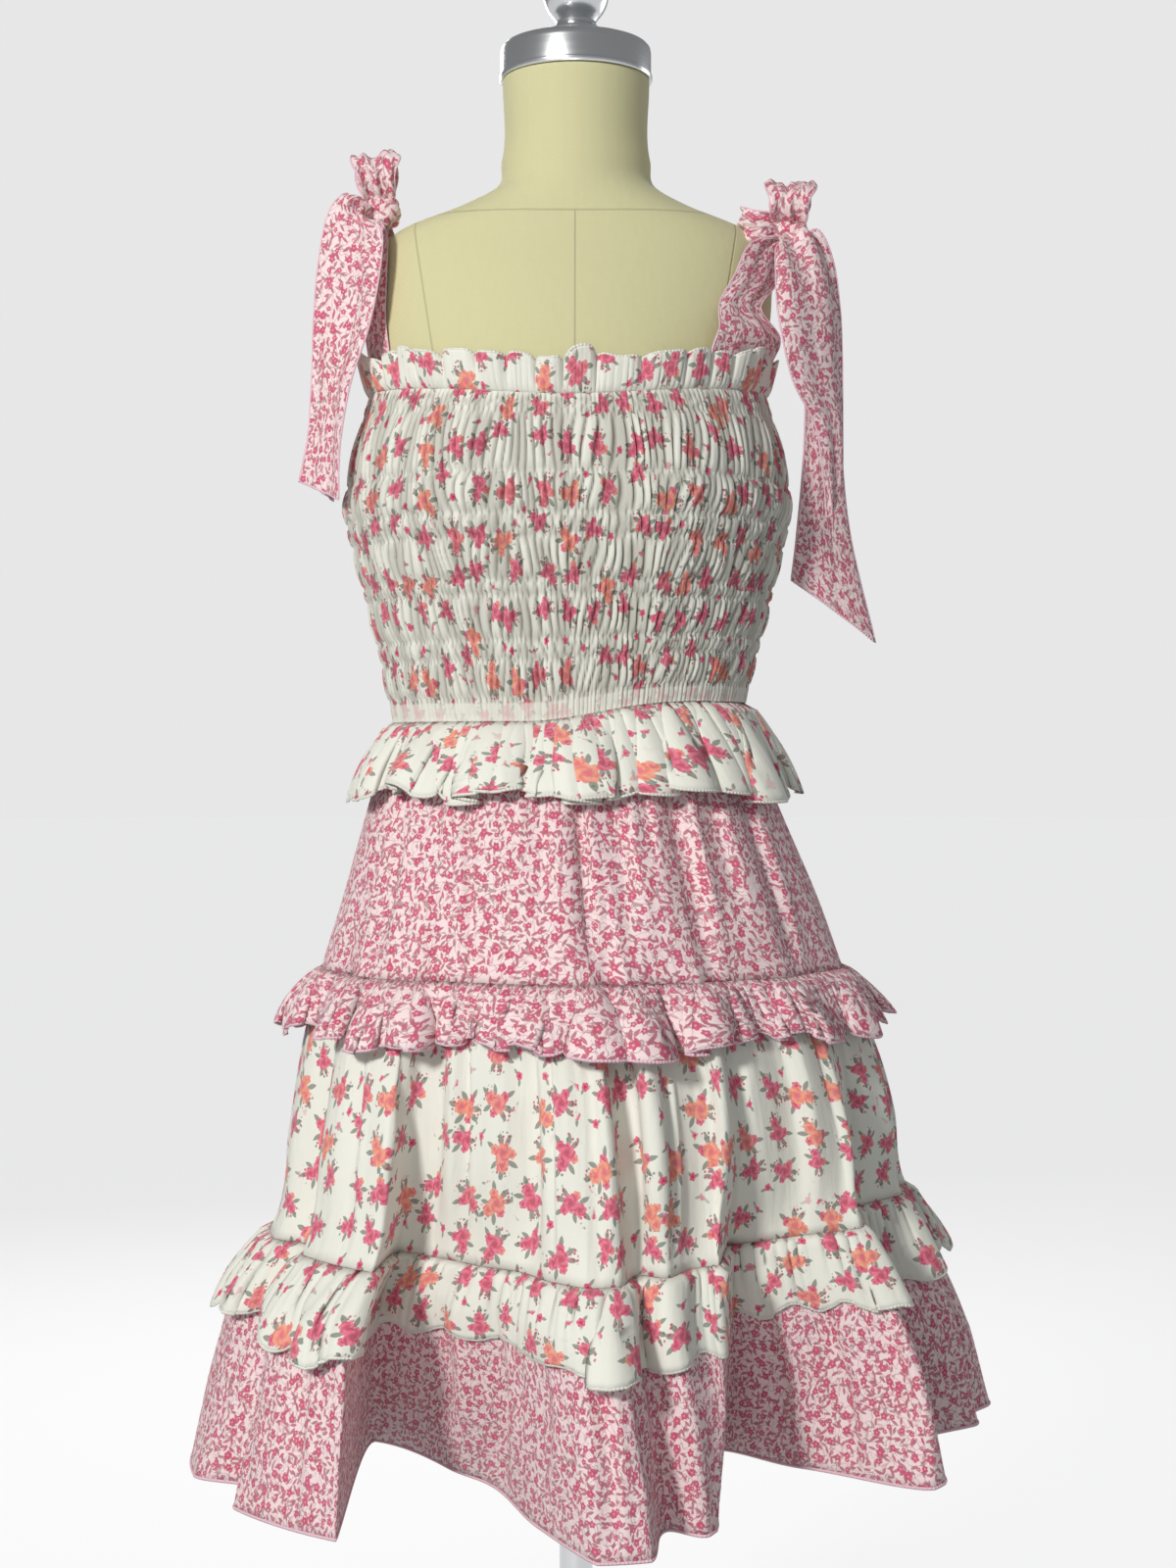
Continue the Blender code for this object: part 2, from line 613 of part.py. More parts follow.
def make_heading(collection):
    """The free ruffled edge above the first elastic row."""
    rings = []
    for step in HEADING_STEPS:
        ring = []
        for angle in even_angles(HEADING_COLUMNS):
            foot = bodice_height(angle, BODICE_TOP)
            section = section_at(BODY, foot)
            wave = HEADING_WAVE_DEPTH * uneven_wave(angle, HEADING_WAVES, 1.0)
            out = HEADING_STAND_OFF + (HEADING_FLARE + wave) * step
            change = HEADING_RISE_CHANGE * uneven_wave(angle, HEADING_WAVES // 2, 2.0)
            rise = HEADING_HEIGHT * step * (1.0 + change)
            radius = plan_radius(section, angle) + out
            ring.append(at(angle, radius, foot + SEAM_GAP + rise, section.shift))
        rings.append(ring)
    piece = add_piece(collection, "ruffle_heading", tube_mesh("ruffle_heading", rings),
                      "rose_cotton")
    thicken(piece, RUFFLE_WALL, 1.0)


def make_tiers(collection):
    """Three gathered tubes that share one set of folds."""
    angles = skirt_angles()
    finishes = ("ditsy_cotton", "rose_cotton", "ditsy_cotton")
    for (name, heights), finish_name in zip(TIER_ROWS.items(), finishes):
        rings = [[skirt_point(angle, height) for angle in angles] for height in heights]
        piece = add_piece(collection, name, tube_mesh(name, rings), finish_name)
        thicken(piece, SKIRT_WALL, -1.0)


def ruffle_room(pull):
    """The share of its flare that a ruffle keeps, less where a fold leaves it little room."""
    return 1.0 / (1.0 + (pull / RUFFLE_IN_FOLD) ** 2)


def make_ruffles(collection):
    """Gathered strips over the tiers, each following the folds beneath it."""
    angles = skirt_angles()
    finishes = ("rose_cotton", "ditsy_cotton", "rose_cotton")
    for index, ((name, ruffle), finish_name) in enumerate(zip(RUFFLES.items(), finishes)):
        top, edge = ruffle.heights[0], ruffle.heights[-1]
        rings = []
        for height in ruffle.heights:
            step = (top - height) / (top - edge)
            spring = 1.0 - (1.0 - step) ** RUFFLE_SPRING
            ring = []
            distances = []
            for angle in angles:
                fall = ruffle.edge_change * uneven_wave(angle, EDGE_WAVES, index + 1.0) * (step == 1.0)
                wave = ruffle.wave_depth * uneven_wave(angle, ruffle.waves, index + 2.0)
                pull = fold_pull(angle, height).length
                out = (ruffle.flare + wave) * spring * ruffle_room(pull)
                distances.append(out + RUFFLE_STAND_OFF + RUFFLE_FOLD_GAP * pull)
                ring.append(point_on_tier(ruffle.tier, angle, height - fall))
            rings.append(ring_moved_out(ring, distances))
        piece = add_piece(collection, name, tube_mesh(name, rings), finish_name)
        thicken(piece, RUFFLE_WALL, 1.0)


def knot_row(knot, outer, inner):
    """The narrow start of a ribbon at its knot, pointing to the row that follows."""
    middle = (outer + inner) / 2.0
    direction = (middle - knot).normalized()
    side = (outer - inner)
    side = (side - direction * side.dot(direction)).normalized()
    start = knot + direction * (KNOT_RADIUS + KNOT_GAP)
    return start + side * TIE_START_WIDTH / 2.0, start - side * TIE_START_WIDTH / 2.0


def sheet_mesh(name, grid):
    """An open sheet through a grid of points, its first row the highest."""
    bm = bmesh.new()
    rows = [[bm.verts.new(point) for point in line] for line in grid]
    for high, low in zip(rows, rows[1:]):
        for column in range(len(high) - 1):
            bm.faces.new([low[column], low[column + 1], high[column + 1], high[column]])
    mesh = bpy.data.meshes.new(name)
    bm.to_mesh(mesh)
    bm.free()
    return mesh


def ribbon_parts():
    """The share of a ribbon's width at each of its columns."""
    return [column / RIBBON_COLUMNS for column in range(RIBBON_COLUMNS + 1)]


def ribbon(collection, name, rows):
    """A strip of cloth through rows of outer edge, inner edge and crown."""
    grid = []
    for index, (outer, inner, crown) in enumerate(rows):
        before = rows[max(index - 1, 0)]
        after = rows[min(index + 1, len(rows) - 1)]
        run = (after[0] + after[1]) - (before[0] + before[1])
        lift = run.cross(outer - inner).normalized()
        grid.append([outer.lerp(inner, part) + lift * crown * math.sin(math.pi * part)
                     for part in ribbon_parts()])
    piece = add_piece(collection, name, sheet_mesh(name, grid), "ditsy_cotton")
    thicken(piece, TIE_WALL, 0.0)


def strap_line(row):
    """One row of a strap's points, standing off the form; the last row stands on the bodice."""
    line = []
    for part in ribbon_parts():
        angle = math.radians(row.edge_a + (row.edge_b - row.edge_a) * part)
        height = row.height
        if height == ON_RIM:
            height = bodice_height(angle, BODICE_TOP) + 2.0 * SEAM_GAP
        line.append(body_point(angle, height, row.stand_off + TIE_WALL / 2.0))
    return line


def make_straps(collection):
    """The four ties, from their knots down to the bodice's rim."""
    for name, (knot, strap_rows) in STRAPS.items():
        lines = [strap_line(row) for row in strap_rows]
        edge_a, edge_b = knot_row(knot, lines[0][0], lines[0][-1])
        start = [edge_a.lerp(edge_b, part) for part in ribbon_parts()]
        piece = add_piece(collection, name, sheet_mesh(name, [start] + lines), "ditsy_cotton")
        thicken(piece, TIE_WALL, 0.0)


def make_ribbons(collection):
    """The draped loops and free tails that hang from the knots."""
    for name, (knot, edge_rows) in RIBBONS.items():
        rows = [(Vector(row.outer), Vector(row.inner), row.crown) for row in edge_rows]
        start = knot_row(knot, rows[0][0], rows[0][1])
        ribbon(collection, name, [(start[0], start[1], 0.0)] + rows)


def make_loops(collection):
    """The standing loops: closed bands pinched at the knot."""
    for name, loop in LOOPS.items():
        direction = Vector(loop.direction).normalized()
        spread = Vector(loop.spread)
        spread = (spread - direction * spread.dot(direction)).normalized()
        across = direction.cross(spread)
        foot = loop.knot + direction * (KNOT_RADIUS + KNOT_GAP + TIE_WALL / 2.0)
        rings = []
        for side in (-1.0, 0.0, 1.0):
            ring = []
            for index in range(LOOP_COLUMNS):
                turn = 2.0 * math.pi * index / LOOP_COLUMNS
                along = loop.length * (0.5 - 0.5 * math.cos(turn))
                swell = math.sin(turn / 2.0)
                out = loop.opening * math.sin(turn) * (LOOP_FULLNESS + (1.0 - LOOP_FULLNESS) * swell)
                half = loop.width / 2.0 * (LOOP_PINCH + (1.0 - LOOP_PINCH) * swell)
                bow = LOOP_CROWN * (1.0 - side * side) * swell
                ring.append(foot + direction * (along + bow) + spread * out + across * half * side)
            rings.append(ring)
        piece = add_piece(collection, name, tube_mesh(name, rings), "ditsy_cotton")
        thicken(piece, TIE_WALL, 0.0)


def make_knots(collection):
    for name, centre in (("knot_left", KNOT_LEFT), ("knot_right", KNOT_RIGHT)):
        bm = bmesh.new()
        bmesh.ops.create_uvsphere(bm, u_segments=14, v_segments=9, radius=KNOT_RADIUS)
        mesh = bpy.data.meshes.new(name)
        bm.to_mesh(mesh)
        bm.free()
        piece = add_piece(collection, name, mesh, "ditsy_cotton")
        piece.location = centre


def main():
    remove_everything()
    collection = bpy.data.collections.new(OBJECT_NAME)
    bpy.context.scene.collection.children.link(collection)
    make_body(collection)
    make_stand(collection)
    make_bodice(collection)
    make_heading(collection)
    make_tiers(collection)
    make_ruffles(collection)
    make_straps(collection)
    make_ribbons(collection)
    make_loops(collection)
    make_knots(collection)


main()
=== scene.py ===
"""The finish of a tiered cotton sundress on a limbless dress form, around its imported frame.

Sizes are in metres. +Z is up, the front faces -Y and the viewer's right is +X. Angles run round the
body from the front, positive towards +X, and every tube of cloth starts at the centre back.
"""
import math
from collections import namedtuple

import bpy
import numpy as np
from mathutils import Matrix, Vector


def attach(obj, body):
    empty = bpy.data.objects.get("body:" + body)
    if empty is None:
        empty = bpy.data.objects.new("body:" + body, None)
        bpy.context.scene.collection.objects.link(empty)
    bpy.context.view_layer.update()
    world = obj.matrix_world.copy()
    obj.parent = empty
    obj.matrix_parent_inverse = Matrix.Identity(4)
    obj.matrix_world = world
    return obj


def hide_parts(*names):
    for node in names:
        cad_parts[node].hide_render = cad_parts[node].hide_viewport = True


bl_info = {
    "name": "Tiered sundress on a dress form",
    "version": (1, 0, 0),
    "blender": (4, 5, 0),
    "location": "3D View > Sidebar > Sundress",
    "description": "Builds the smocked bodice, gathered tiers, ruffles and tied bows on their form",
    "category": "Object",
}

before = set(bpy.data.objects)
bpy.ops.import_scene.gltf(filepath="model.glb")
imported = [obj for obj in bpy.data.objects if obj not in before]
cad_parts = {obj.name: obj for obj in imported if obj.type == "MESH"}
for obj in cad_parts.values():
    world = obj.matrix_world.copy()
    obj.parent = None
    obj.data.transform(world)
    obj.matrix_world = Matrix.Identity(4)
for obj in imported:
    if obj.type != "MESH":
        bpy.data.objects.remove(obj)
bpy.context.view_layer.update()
BODY_NAME = "root"
FULL_TURN = 2.0 * math.pi

# Heights and gaps of the pattern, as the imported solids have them
SEAM_GAP = 0.0003
WAIST = 1.0400
SEAM_MIDDLE = 0.8590
SEAM_LOWER = 0.6650
HEM = 0.4950
BODICE_TOP = 1.2710
BODICE_TOP_RISE = 0.0130
BODICE_RISE_START = 1.2365
HEADING_HEIGHT = 0.0265
WAIST_RISE = 0.0150
WAIST_RISE_REACH = 0.0900

# The form's sections; bust is how far the two mounds stand forward
Section = namedtuple("Section", "height shift half_width front back bust")
BODY = [Section(*row) for row in (
    (0.8000, -0.004, 0.148, 0.098, 0.104, 0.000),
    (0.8120, -0.004, 0.158, 0.106, 0.112, 0.000),
    (0.8600, -0.005, 0.164, 0.110, 0.118, 0.000),
    (0.9200, -0.005, 0.156, 0.107, 0.112, 0.000),
    (0.9900, -0.006, 0.136, 0.098, 0.092, 0.000),
    (1.0403, -0.006, 0.1285, 0.093, 0.082, 0.000),
    (1.0690, -0.006, 0.1325, 0.097, 0.085, 0.000),
    (1.1130, -0.006, 0.1430, 0.105, 0.092, 0.001),
    (1.1550, -0.006, 0.1530, 0.113, 0.099, 0.005),
    (1.2005, -0.006, 0.1630, 0.117, 0.105, 0.010),
    (1.2365, -0.006, 0.1575, 0.113, 0.107, 0.009),
    (1.2900, -0.006, 0.1455, 0.102, 0.107, 0.002),
    (1.3350, -0.005, 0.1500, 0.088, 0.102, 0.000),
    (1.3700, -0.004, 0.1500, 0.076, 0.090, 0.000),
    (1.3950, -0.003, 0.1430, 0.066, 0.076, 0.000),
    (1.4080, -0.002, 0.1280, 0.062, 0.068, 0.000),
    (1.4230, -0.001, 0.0890, 0.058, 0.062, 0.000),
    (1.4360, 0.000, 0.0630, 0.056, 0.057, 0.000),
    (1.4600, 0.000, 0.0555, 0.0545, 0.0550, 0.000),
    (1.5195, 0.000, 0.0548, 0.0540, 0.0545, 0.000),
)]
FORM_TOP = 1.5195
FORM_SHOULDER = 1.3800
FORM_FOOT = 0.8000
BUST_ANGLE = math.radians(36.0)
BUST_SPREAD = math.radians(20.0)

# The skirt's plan before its folds
SKIRT = [Section(*row) for row in (
    (1.0400, -0.006, 0.1310, 0.0955, 0.0845, 0.000),
    (1.0200, -0.005, 0.1380, 0.1060, 0.0980, 0.000),
    (0.9580, -0.001, 0.1600, 0.1320, 0.1260, 0.000),
    (0.9050, 0.003, 0.1790, 0.1520, 0.1480, 0.000),
    (0.8590, 0.005, 0.1950, 0.1680, 0.1640, 0.000),
    (0.8100, 0.010, 0.2110, 0.1890, 0.1830, 0.000),
    (0.7400, 0.013, 0.2260, 0.2080, 0.2000, 0.000),
    (0.6650, 0.011, 0.2390, 0.2220, 0.2130, 0.000),
    (0.6350, 0.008, 0.2560, 0.2370, 0.2270, 0.000),
    (0.5800, 0.013, 0.2780, 0.2500, 0.2400, 0.000),
    (0.4950, 0.015, 0.3020, 0.2570, 0.2480, 0.000),
)]

# Hanging folds: the height where each starts, its angle there and at the hem, its reach to either
# side, its depth at the hem, how late it deepens, the turn of its pull, and its roundness
Fold = namedtuple("Fold", "start top_angle hem_angle before after depth growth turn roundness")
FOLDS = [Fold(*row) for row in (
    (1.035, -36.0, -33.0, 6.5, 33.0, 0.245, 2.9, 38.0, 1.15),
    (1.035, 3.5, 12.5, 5.0, 4.5, 0.050, 1.5, 0.0, 2.0),
    (0.950, 17.0, 20.0, 9.0, 16.0, 0.050, 1.2, -20.0, 2.0),
    (1.035, 38.0, 23.5, 5.5, 31.0, 0.170, 2.5, -18.0, 1.3),
    (1.010, 62.0, 70.0, 14.0, 19.0, 0.060, 1.6, 0.0, 2.0),
    (0.870, -10.0, -14.0, 6.5, 6.5, 0.014, 1.0, 0.0, 2.0),
    (1.020, -66.0, -68.0, 9.0, 8.0, 0.034, 1.4, 0.0, 2.0),
    (0.930, 84.0, 88.0, 7.0, 7.0, 0.020, 1.2, 0.0, 2.0),
    (0.900, -96.0, -100.0, 8.0, 8.0, 0.028, 1.2, 0.0, 2.0),
    (1.020, 104.0, 108.0, 8.0, 8.0, 0.060, 1.6, 0.0, 2.0),
    (1.030, 130.0, 133.0, 9.0, 12.0, 0.095, 2.2, -8.0, 2.0),
    (1.020, 154.0, 156.0, 7.5, 7.5, 0.050, 1.6, 0.0, 2.0),
    (1.030, 178.0, 181.0, 9.0, 11.0, 0.100, 2.2, 6.0, 2.0),
    (1.010, 202.0, 205.0, 7.5, 7.5, 0.055, 1.6, 0.0, 2.0),
    (1.030, 226.0, 228.0, 11.0, 9.5, 0.095, 2.2, 8.0, 2.0),
    (1.020, 245.0, 246.0, 7.5, 7.5, 0.055, 1.6, 0.0, 2.0),
)]

# The skirt rides up on the right below this height, and as far as this at the side
LIFT_START = 0.8000
LIFT_FULL = 0.6650
LIFT = 0.0280

# Soft creases of the tiers: angle at the upper end, height of the upper and lower end, the angle
# it has moved by at the lower end, its depth and its half width
Crease = namedtuple("Crease", "angle upper lower drift depth half_width")
CREASES = [Crease(*row) for row in (
    (-58.0, 1.030, 0.862, -3.0, 0.0060, 4.0),
    (-47.0, 1.030, 0.930, -2.0, 0.0035, 3.0),
    (-35.0, 1.010, 0.862, 2.0, 0.0040, 1.1),
    (-22.0, 1.034, 0.960, -2.0, 0.0030, 2.5),
    (-12.0, 1.034, 0.900, 1.5, 0.0030, 3.0),
    (3.5, 1.036, 0.864, 0.5, 0.0080, 2.4),
    (16.0, 1.030, 0.862, 0.0, 0.0045, 4.0),
    (27.0, 1.034, 0.940, 2.0, 0.0030, 2.2),
    (37.0, 1.036, 0.862, 2.0, 0.0080, 3.6),
    (50.0, 1.034, 0.900, 2.0, 0.0040, 3.0),
    (64.0, 1.030, 0.862, 2.0, 0.0055, 3.5),
    (-68.0, 0.850, 0.670, -1.0, 0.0045, 3.2),
    (-52.0, 0.852, 0.668, 0.0, 0.0040, 1.8),
    (-43.0, 0.850, 0.760, 1.0, 0.0035, 2.4),
    (-33.0, 0.855, 0.668, 0.5, 0.0075, 3.4),
    (-26.0, 0.856, 0.668, 1.0, 0.0038, 0.9),
    (-18.5, 0.852, 0.780, 2.0, 0.0035, 2.2),
    (-12.5, 0.855, 0.668, 1.0, 0.0065, 2.4),
    (-8.5, 0.856, 0.668, 1.0, 0.0036, 0.9),
    (-1.0, 0.855, 0.668, 2.0, 0.0070, 2.2),
    (7.5, 0.856, 0.668, 3.0, 0.0080, 2.6),
    (15.5, 0.856, 0.668, 1.0, 0.0038, 1.0),
    (23.5, 0.855, 0.668, 1.0, 0.0080, 3.4),
    (33.0, 0.850, 0.770, 1.0, 0.0035, 2.4),
    (44.0, 0.855, 0.668, 2.0, 0.0065, 3.2),
    (55.0, 0.852, 0.668, 1.0, 0.0050, 2.2),
    (70.0, 0.850, 0.700, 2.0, 0.0050, 3.0),
    (-74.0, 0.610, 0.498, -2.0, 0.0050, 3.0),
    (-60.0, 0.630, 0.520, 1.0, 0.0040, 2.2),
    (-49.0, 0.640, 0.500, 1.5, 0.0050, 2.0),
    (-22.0, 0.640, 0.530, 1.0, 0.0040, 2.2),
    (-14.0, 0.650, 0.497, 1.0, 0.0065, 1.7),
    (-6.5, 0.630, 0.520, -0.5, 0.0040, 1.6),
    (1.5, 0.650, 0.497, 1.0, 0.0050, 1.6),
    (7.5, 0.640, 0.540, 0.5, 0.0040, 1.2),
    (33.0, 0.640, 0.510, 1.0, 0.0045, 2.0),
    (42.0, 0.630, 0.497, 1.5, 0.0050, 1.8),
    (52.0, 0.640, 0.520, 1.0, 0.0040, 2.0),
    (62.0, 0.620, 0.497, 1.0, 0.0045, 2.2),
)]
# How far the creases turn inwards on their way down, in degrees, to hang straight as the cloth widens
PLUMB = {"tier_top": 8.0, "tier_middle": 4.0, "tier_hem": 0.0}
# A crease deepens gently from the left and comes back steeply
CREASE_LEAD = 1.5
CREASE_BACK = 0.55
# Creases like them on the sides and the back: their middle angle, how many, and their spread
HIDDEN_CREASES = {
    "tier_top": (180.0, 13, 92.0, 1.032, 0.864, 0.0050),
    "tier_middle": (180.0, 17, 98.0, 0.854, 0.668, 0.0060),
    "tier_hem": (180.0, 17, 98.0, 0.648, 0.498, 0.0050),
}

# Elastic rows of the bodice, how strongly each draws the cloth in, and the puff above it
Elastic = namedtuple("Elastic", "height hold puff")
ELASTICS = [Elastic(*row) for row in (
    (1.0415, 1.0, 0.0006),
    (1.0554, 1.0, 0.0040),
    (1.0830, 0.9, 0.0030),
    (1.0974, 1.0, 0.0043),
    (1.1290, 1.0, 0.0028),
    (1.1396, 0.9, 0.0043),
    (1.1700, 1.0, 0.0034),
    (1.1860, 0.9, 0.0042),
    (1.2150, 0.7, 0.0044),
    (1.2580, 1.0, 0.0016),
    (1.2665, 1.0, 0.0010),
)]
CASING_TOP = 1.0530
# How far above and below an elastic row its hold on the cloth reaches
PUCKER_REACH = 0.0034
# Painted shade: the shares of itself that the bodice's colour is darkened towards in its gather valleys
VALLEY_SHADE = (0.16, 0.13, 0.10)
BODY_WAIST = 1.0403
BODICE_MIDDLE = 1.16
ROW_HALF = 0.0011
SURFACE_OFF_FORM = 0.0020
GATHER_PITCH = 0.0062
LEAN_LEFT = -0.0015
LEAN_RIGHT = -0.0075
PUCKER_PITCH = 0.0043
PUCKER_DEPTH = 0.0015

Ruffle = namedtuple("Ruffle", "slot base heights flare waves wave_depth flutes flute_depth"
                              " edge_change seed")
RUFFLES = {
    "ruffle_waist": Ruffle("rose_cotton", "tier_top", (WAIST - SEAM_GAP, 0.9897), 0.0150,
                           13, 0.0065, 29, 0.0036, 0.006, 0),
    "ruffle_middle": Ruffle("ditsy_cotton", "tier_middle", (SEAM_MIDDLE - SEAM_GAP, 0.8187),
                            0.0150, 17, 0.0060, 36, 0.0078, 0.005, 1),
    "ruffle_lower": Ruffle("rose_cotton", "tier_hem", (SEAM_LOWER - SEAM_GAP, 0.6127), 0.0090,
                           15, 0.0050, 38, 0.0056, 0.006, 2),
}
EDGE_WAVES = 7
FLUTE_RISE = 0.0046
RUFFLE_SPRING = 2.2
RUFFLE_STAND_OFF = 0.0006
RUFFLE_SEAM = 0.0004
RUFFLE_TUCK = 0.0040
RUFFLE_FOLD_GAP = 0.012
RUFFLE_IN_FOLD = 0.014
RUFFLE_GATHER_DEPTH = 0.0036
RUFFLE_GATHER_PITCH = 0.0092
RUFFLE_GATHER_REACH = 0.024

HEADING_WAVES = 12
HEADING_WAVE = 0.0030
HEADING_FULLNESS = 1.08
HEADING_LOBE = 0.0235
HEADING_LOBE_DEPTH = 0.0085
HEADING_TUCK = 0.0010
HEADING_FLARE = 0.0020
HEADING_RISE_CHANGE = 0.10

# Metal cap, knob, pole and base: turned outlines from the top down
NECK_CAP = [(0.0, 1.5480), (0.0350, 1.5478), (0.0505, 1.5465), (0.0538, 1.5452), (0.0556, 1.5432),
            (0.0562, 1.5400), (0.0562, 1.5240), (0.0570, 1.5232), (0.0570, 1.5206), (0.0566, 1.5198),
            (0.0, 1.5198)]
KNOB_RADIUS = 0.0245
KNOB_CENTRE = 1.5850
KNOB_FOOT = 1.5483
KNOB_COLLAR = 0.0190
POLE_RADIUS = 0.0125
POLE_TOP = 0.7937
POLE_FOOT = 0.0203
FLANGE = [(0.0, 0.7997), (0.0440, 0.7997), (0.0450, 0.7987), (0.0450, 0.7945), (0.0440, 0.7938),
          (0.0235, 0.7905), (0.0220, 0.7885), (0.0220, 0.7708), (0.0212, 0.7700), (0.0128, 0.7700)]
BASE = [(0.0128, 0.0200), (0.0300, 0.0200), (0.1000, 0.0178), (0.1700, 0.0140), (0.1850, 0.0118),
        (0.1900, 0.0095), (0.1920, 0.0065), (0.1920, 0.0012), (0.1908, 0.0), (0.0, 0.0)]
TURNED_STEPS = 128

# Ties of the two shoulder bows
KNOT_RADIUS = 0.0130
TIE_START_WIDTH = 0.0100
KNOT_LEFT = Vector((-0.1450, -0.0090, 1.4200))
KNOT_RIGHT = Vector((0.1580, -0.0110, 1.4040))

# A strap on the form: its two edges' angles and how far it stands off, down to the bodice's rim
ON_RIM = 0.0
StrapRow = namedtuple("StrapRow", "height edge_a edge_b stand_off")
STRAPS = {
    "tie_front_left": (KNOT_LEFT, [
        StrapRow(1.4060, -80.0, -88.0, 0.0150),
        StrapRow(1.3950, -77.0, -88.0, 0.0065),
        StrapRow(1.3700, -74.0, -90.0, 0.0030),
        StrapRow(1.3350, -72.0, -92.0, 0.0018),
        StrapRow(1.3050, -70.0, -94.0, 0.0011),
        StrapRow(ON_RIM, -69.0, -95.0, 0.0011),
    ]),
    "tie_front_right": (KNOT_RIGHT, [
        StrapRow(1.3900, 72.0, 88.0, 0.0110),
        StrapRow(1.3650, 66.0, 82.0, 0.0060),
        StrapRow(1.3430, 60.0, 75.0, 0.0035),
        StrapRow(1.3220, 54.0, 78.0, 0.0140),
        StrapRow(1.3050, 53.0, 81.0, 0.0070),
        StrapRow(ON_RIM, 54.0, 82.0, 0.0011),
    ]),
    "tie_back_left": (KNOT_LEFT, [
        StrapRow(1.4070, -94.0, -101.0, 0.0130),
        StrapRow(1.3950, -95.0, -106.0, 0.0060),
        StrapRow(1.3700, -97.0, -113.0, 0.0030),
        StrapRow(1.3350, -100.0, -120.0, 0.0018),
        StrapRow(1.3050, -104.0, -128.0, 0.0011),
        StrapRow(ON_RIM, -105.0, -130.0, 0.0011),
    ]),
    "tie_back_right": (KNOT_RIGHT, [
        StrapRow(1.3900, 94.0, 106.0, 0.0085),
        StrapRow(1.3700, 96.0, 112.0, 0.0035),
        StrapRow(1.3350, 99.0, 119.0, 0.0018),
        StrapRow(1.3050, 103.0, 127.0, 0.0011),
        StrapRow(ON_RIM, 104.0, 129.0, 0.0011),
    ]),
}

# Free ribbons that hang from a knot: outer and inner edge of each row, and its crown
Edges = namedtuple("Edges", "outer inner crown")
RIBBONS = {
    "bow_drape_left": (KNOT_LEFT, [
        Edges((-0.170, -0.022, 1.4330), (-0.154, -0.036, 1.4110), 0.003),
        Edges((-0.184, -0.024, 1.4140), (-0.142, -0.050, 1.3960), 0.005),
        Edges((-0.191, -0.026, 1.3750), (-0.143, -0.060, 1.3650), 0.006),
        Edges((-0.194, -0.028, 1.3300), (-0.150, -0.062, 1.3250), 0.005),
        Edges((-0.195, -0.030, 1.2900), (-0.164, -0.058, 1.2850), 0.003),
        Edges((-0.197, -0.030, 1.2500), (-0.171, -0.054, 1.2450), 0.003),
        Edges((-0.204, -0.028, 1.2180), (-0.172, -0.052, 1.2020), 0.002),
    ]),
    "bow_tail_left": (KNOT_LEFT, [
        Edges((-0.168, 0.014, 1.4200), (-0.160, 0.000, 1.4120), 0.001),
        Edges((-0.182, 0.016, 1.3900), (-0.170, -0.004, 1.3850), 0.002),
        Edges((-0.188, 0.014, 1.3300), (-0.174, -0.008, 1.3250), 0.003),
        Edges((-0.191, 0.012, 1.2700), (-0.178, -0.012, 1.2650), 0.003),
        Edges((-0.193, 0.010, 1.2150), (-0.181, -0.014, 1.2050), 0.002),
    ]),
    "bow_drape_right": (KNOT_RIGHT, [
        Edges((0.180, -0.020, 1.4040), (0.147, -0.040, 1.3880), 0.003),
        Edges((0.192, -0.020, 1.3780), (0.145, -0.054, 1.3660), 0.005),
        Edges((0.196, -0.022, 1.3450), (0.147, -0.064, 1.3360), 0.006),
        Edges((0.197, -0.026, 1.2950), (0.157, -0.064, 1.2880), 0.004),
        Edges((0.198, -0.028, 1.2600), (0.175, -0.054, 1.2550), 0.003),
        Edges((0.197, -0.030, 1.2200), (0.181, -0.050, 1.2180), 0.002),
        Edges((0.190, -0.038, 1.1980), (0.184, -0.046, 1.1900), 0.001),
    ]),
    "bow_tail_right": (KNOT_RIGHT, [
        Edges((0.180, 0.014, 1.4020), (0.168, 0.002, 1.3950), 0.001),
        Edges((0.191, 0.020, 1.3780), (0.172, 0.000, 1.3720), 0.003),
        Edges((0.197, 0.022, 1.3200), (0.172, 0.000, 1.3150), 0.004),
        Edges((0.201, 0.024, 1.2500), (0.171, 0.000, 1.2450), 0.004),
        Edges((0.208, 0.026, 1.1850), (0.166, 0.002, 1.1850), 0.004),
        Edges((0.228, 0.026, 1.1020), (0.162, 0.006, 1.1480), 0.003),
    ]),
}

# Closed loops of the bows: which way they point, their length, opening and width
Loop = namedtuple("Loop", "knot direction spread length opening width")
LOOPS = {
    "bow_loop_left": Loop(KNOT_LEFT, (-0.10, -0.16, 1.0), (-0.09, 1.0, 0.1), 0.036, 0.019, 0.034),
    "bow_loop_right": Loop(KNOT_RIGHT, (0.02, -0.30, 0.84), (0.09, 1.0, 0.2), 0.030, 0.020, 0.035),
    "bow_loop_inner_right": Loop(KNOT_RIGHT, (-1.0, -0.28, 0.08), (-0.2, 1.0, 0.1), 0.030, 0.013,
                                 0.027),
}
LOOP_PINCH = 0.40
LOOP_FULLNESS = 0.55
LOOP_CROWN = 0.003
LOOP_START = 0.45
# The ribbons' hems against the dress's, and the least share of its rectangle that a cut fills
RIBBON_HEM = 0.7
LEAST_CUT = 0.31

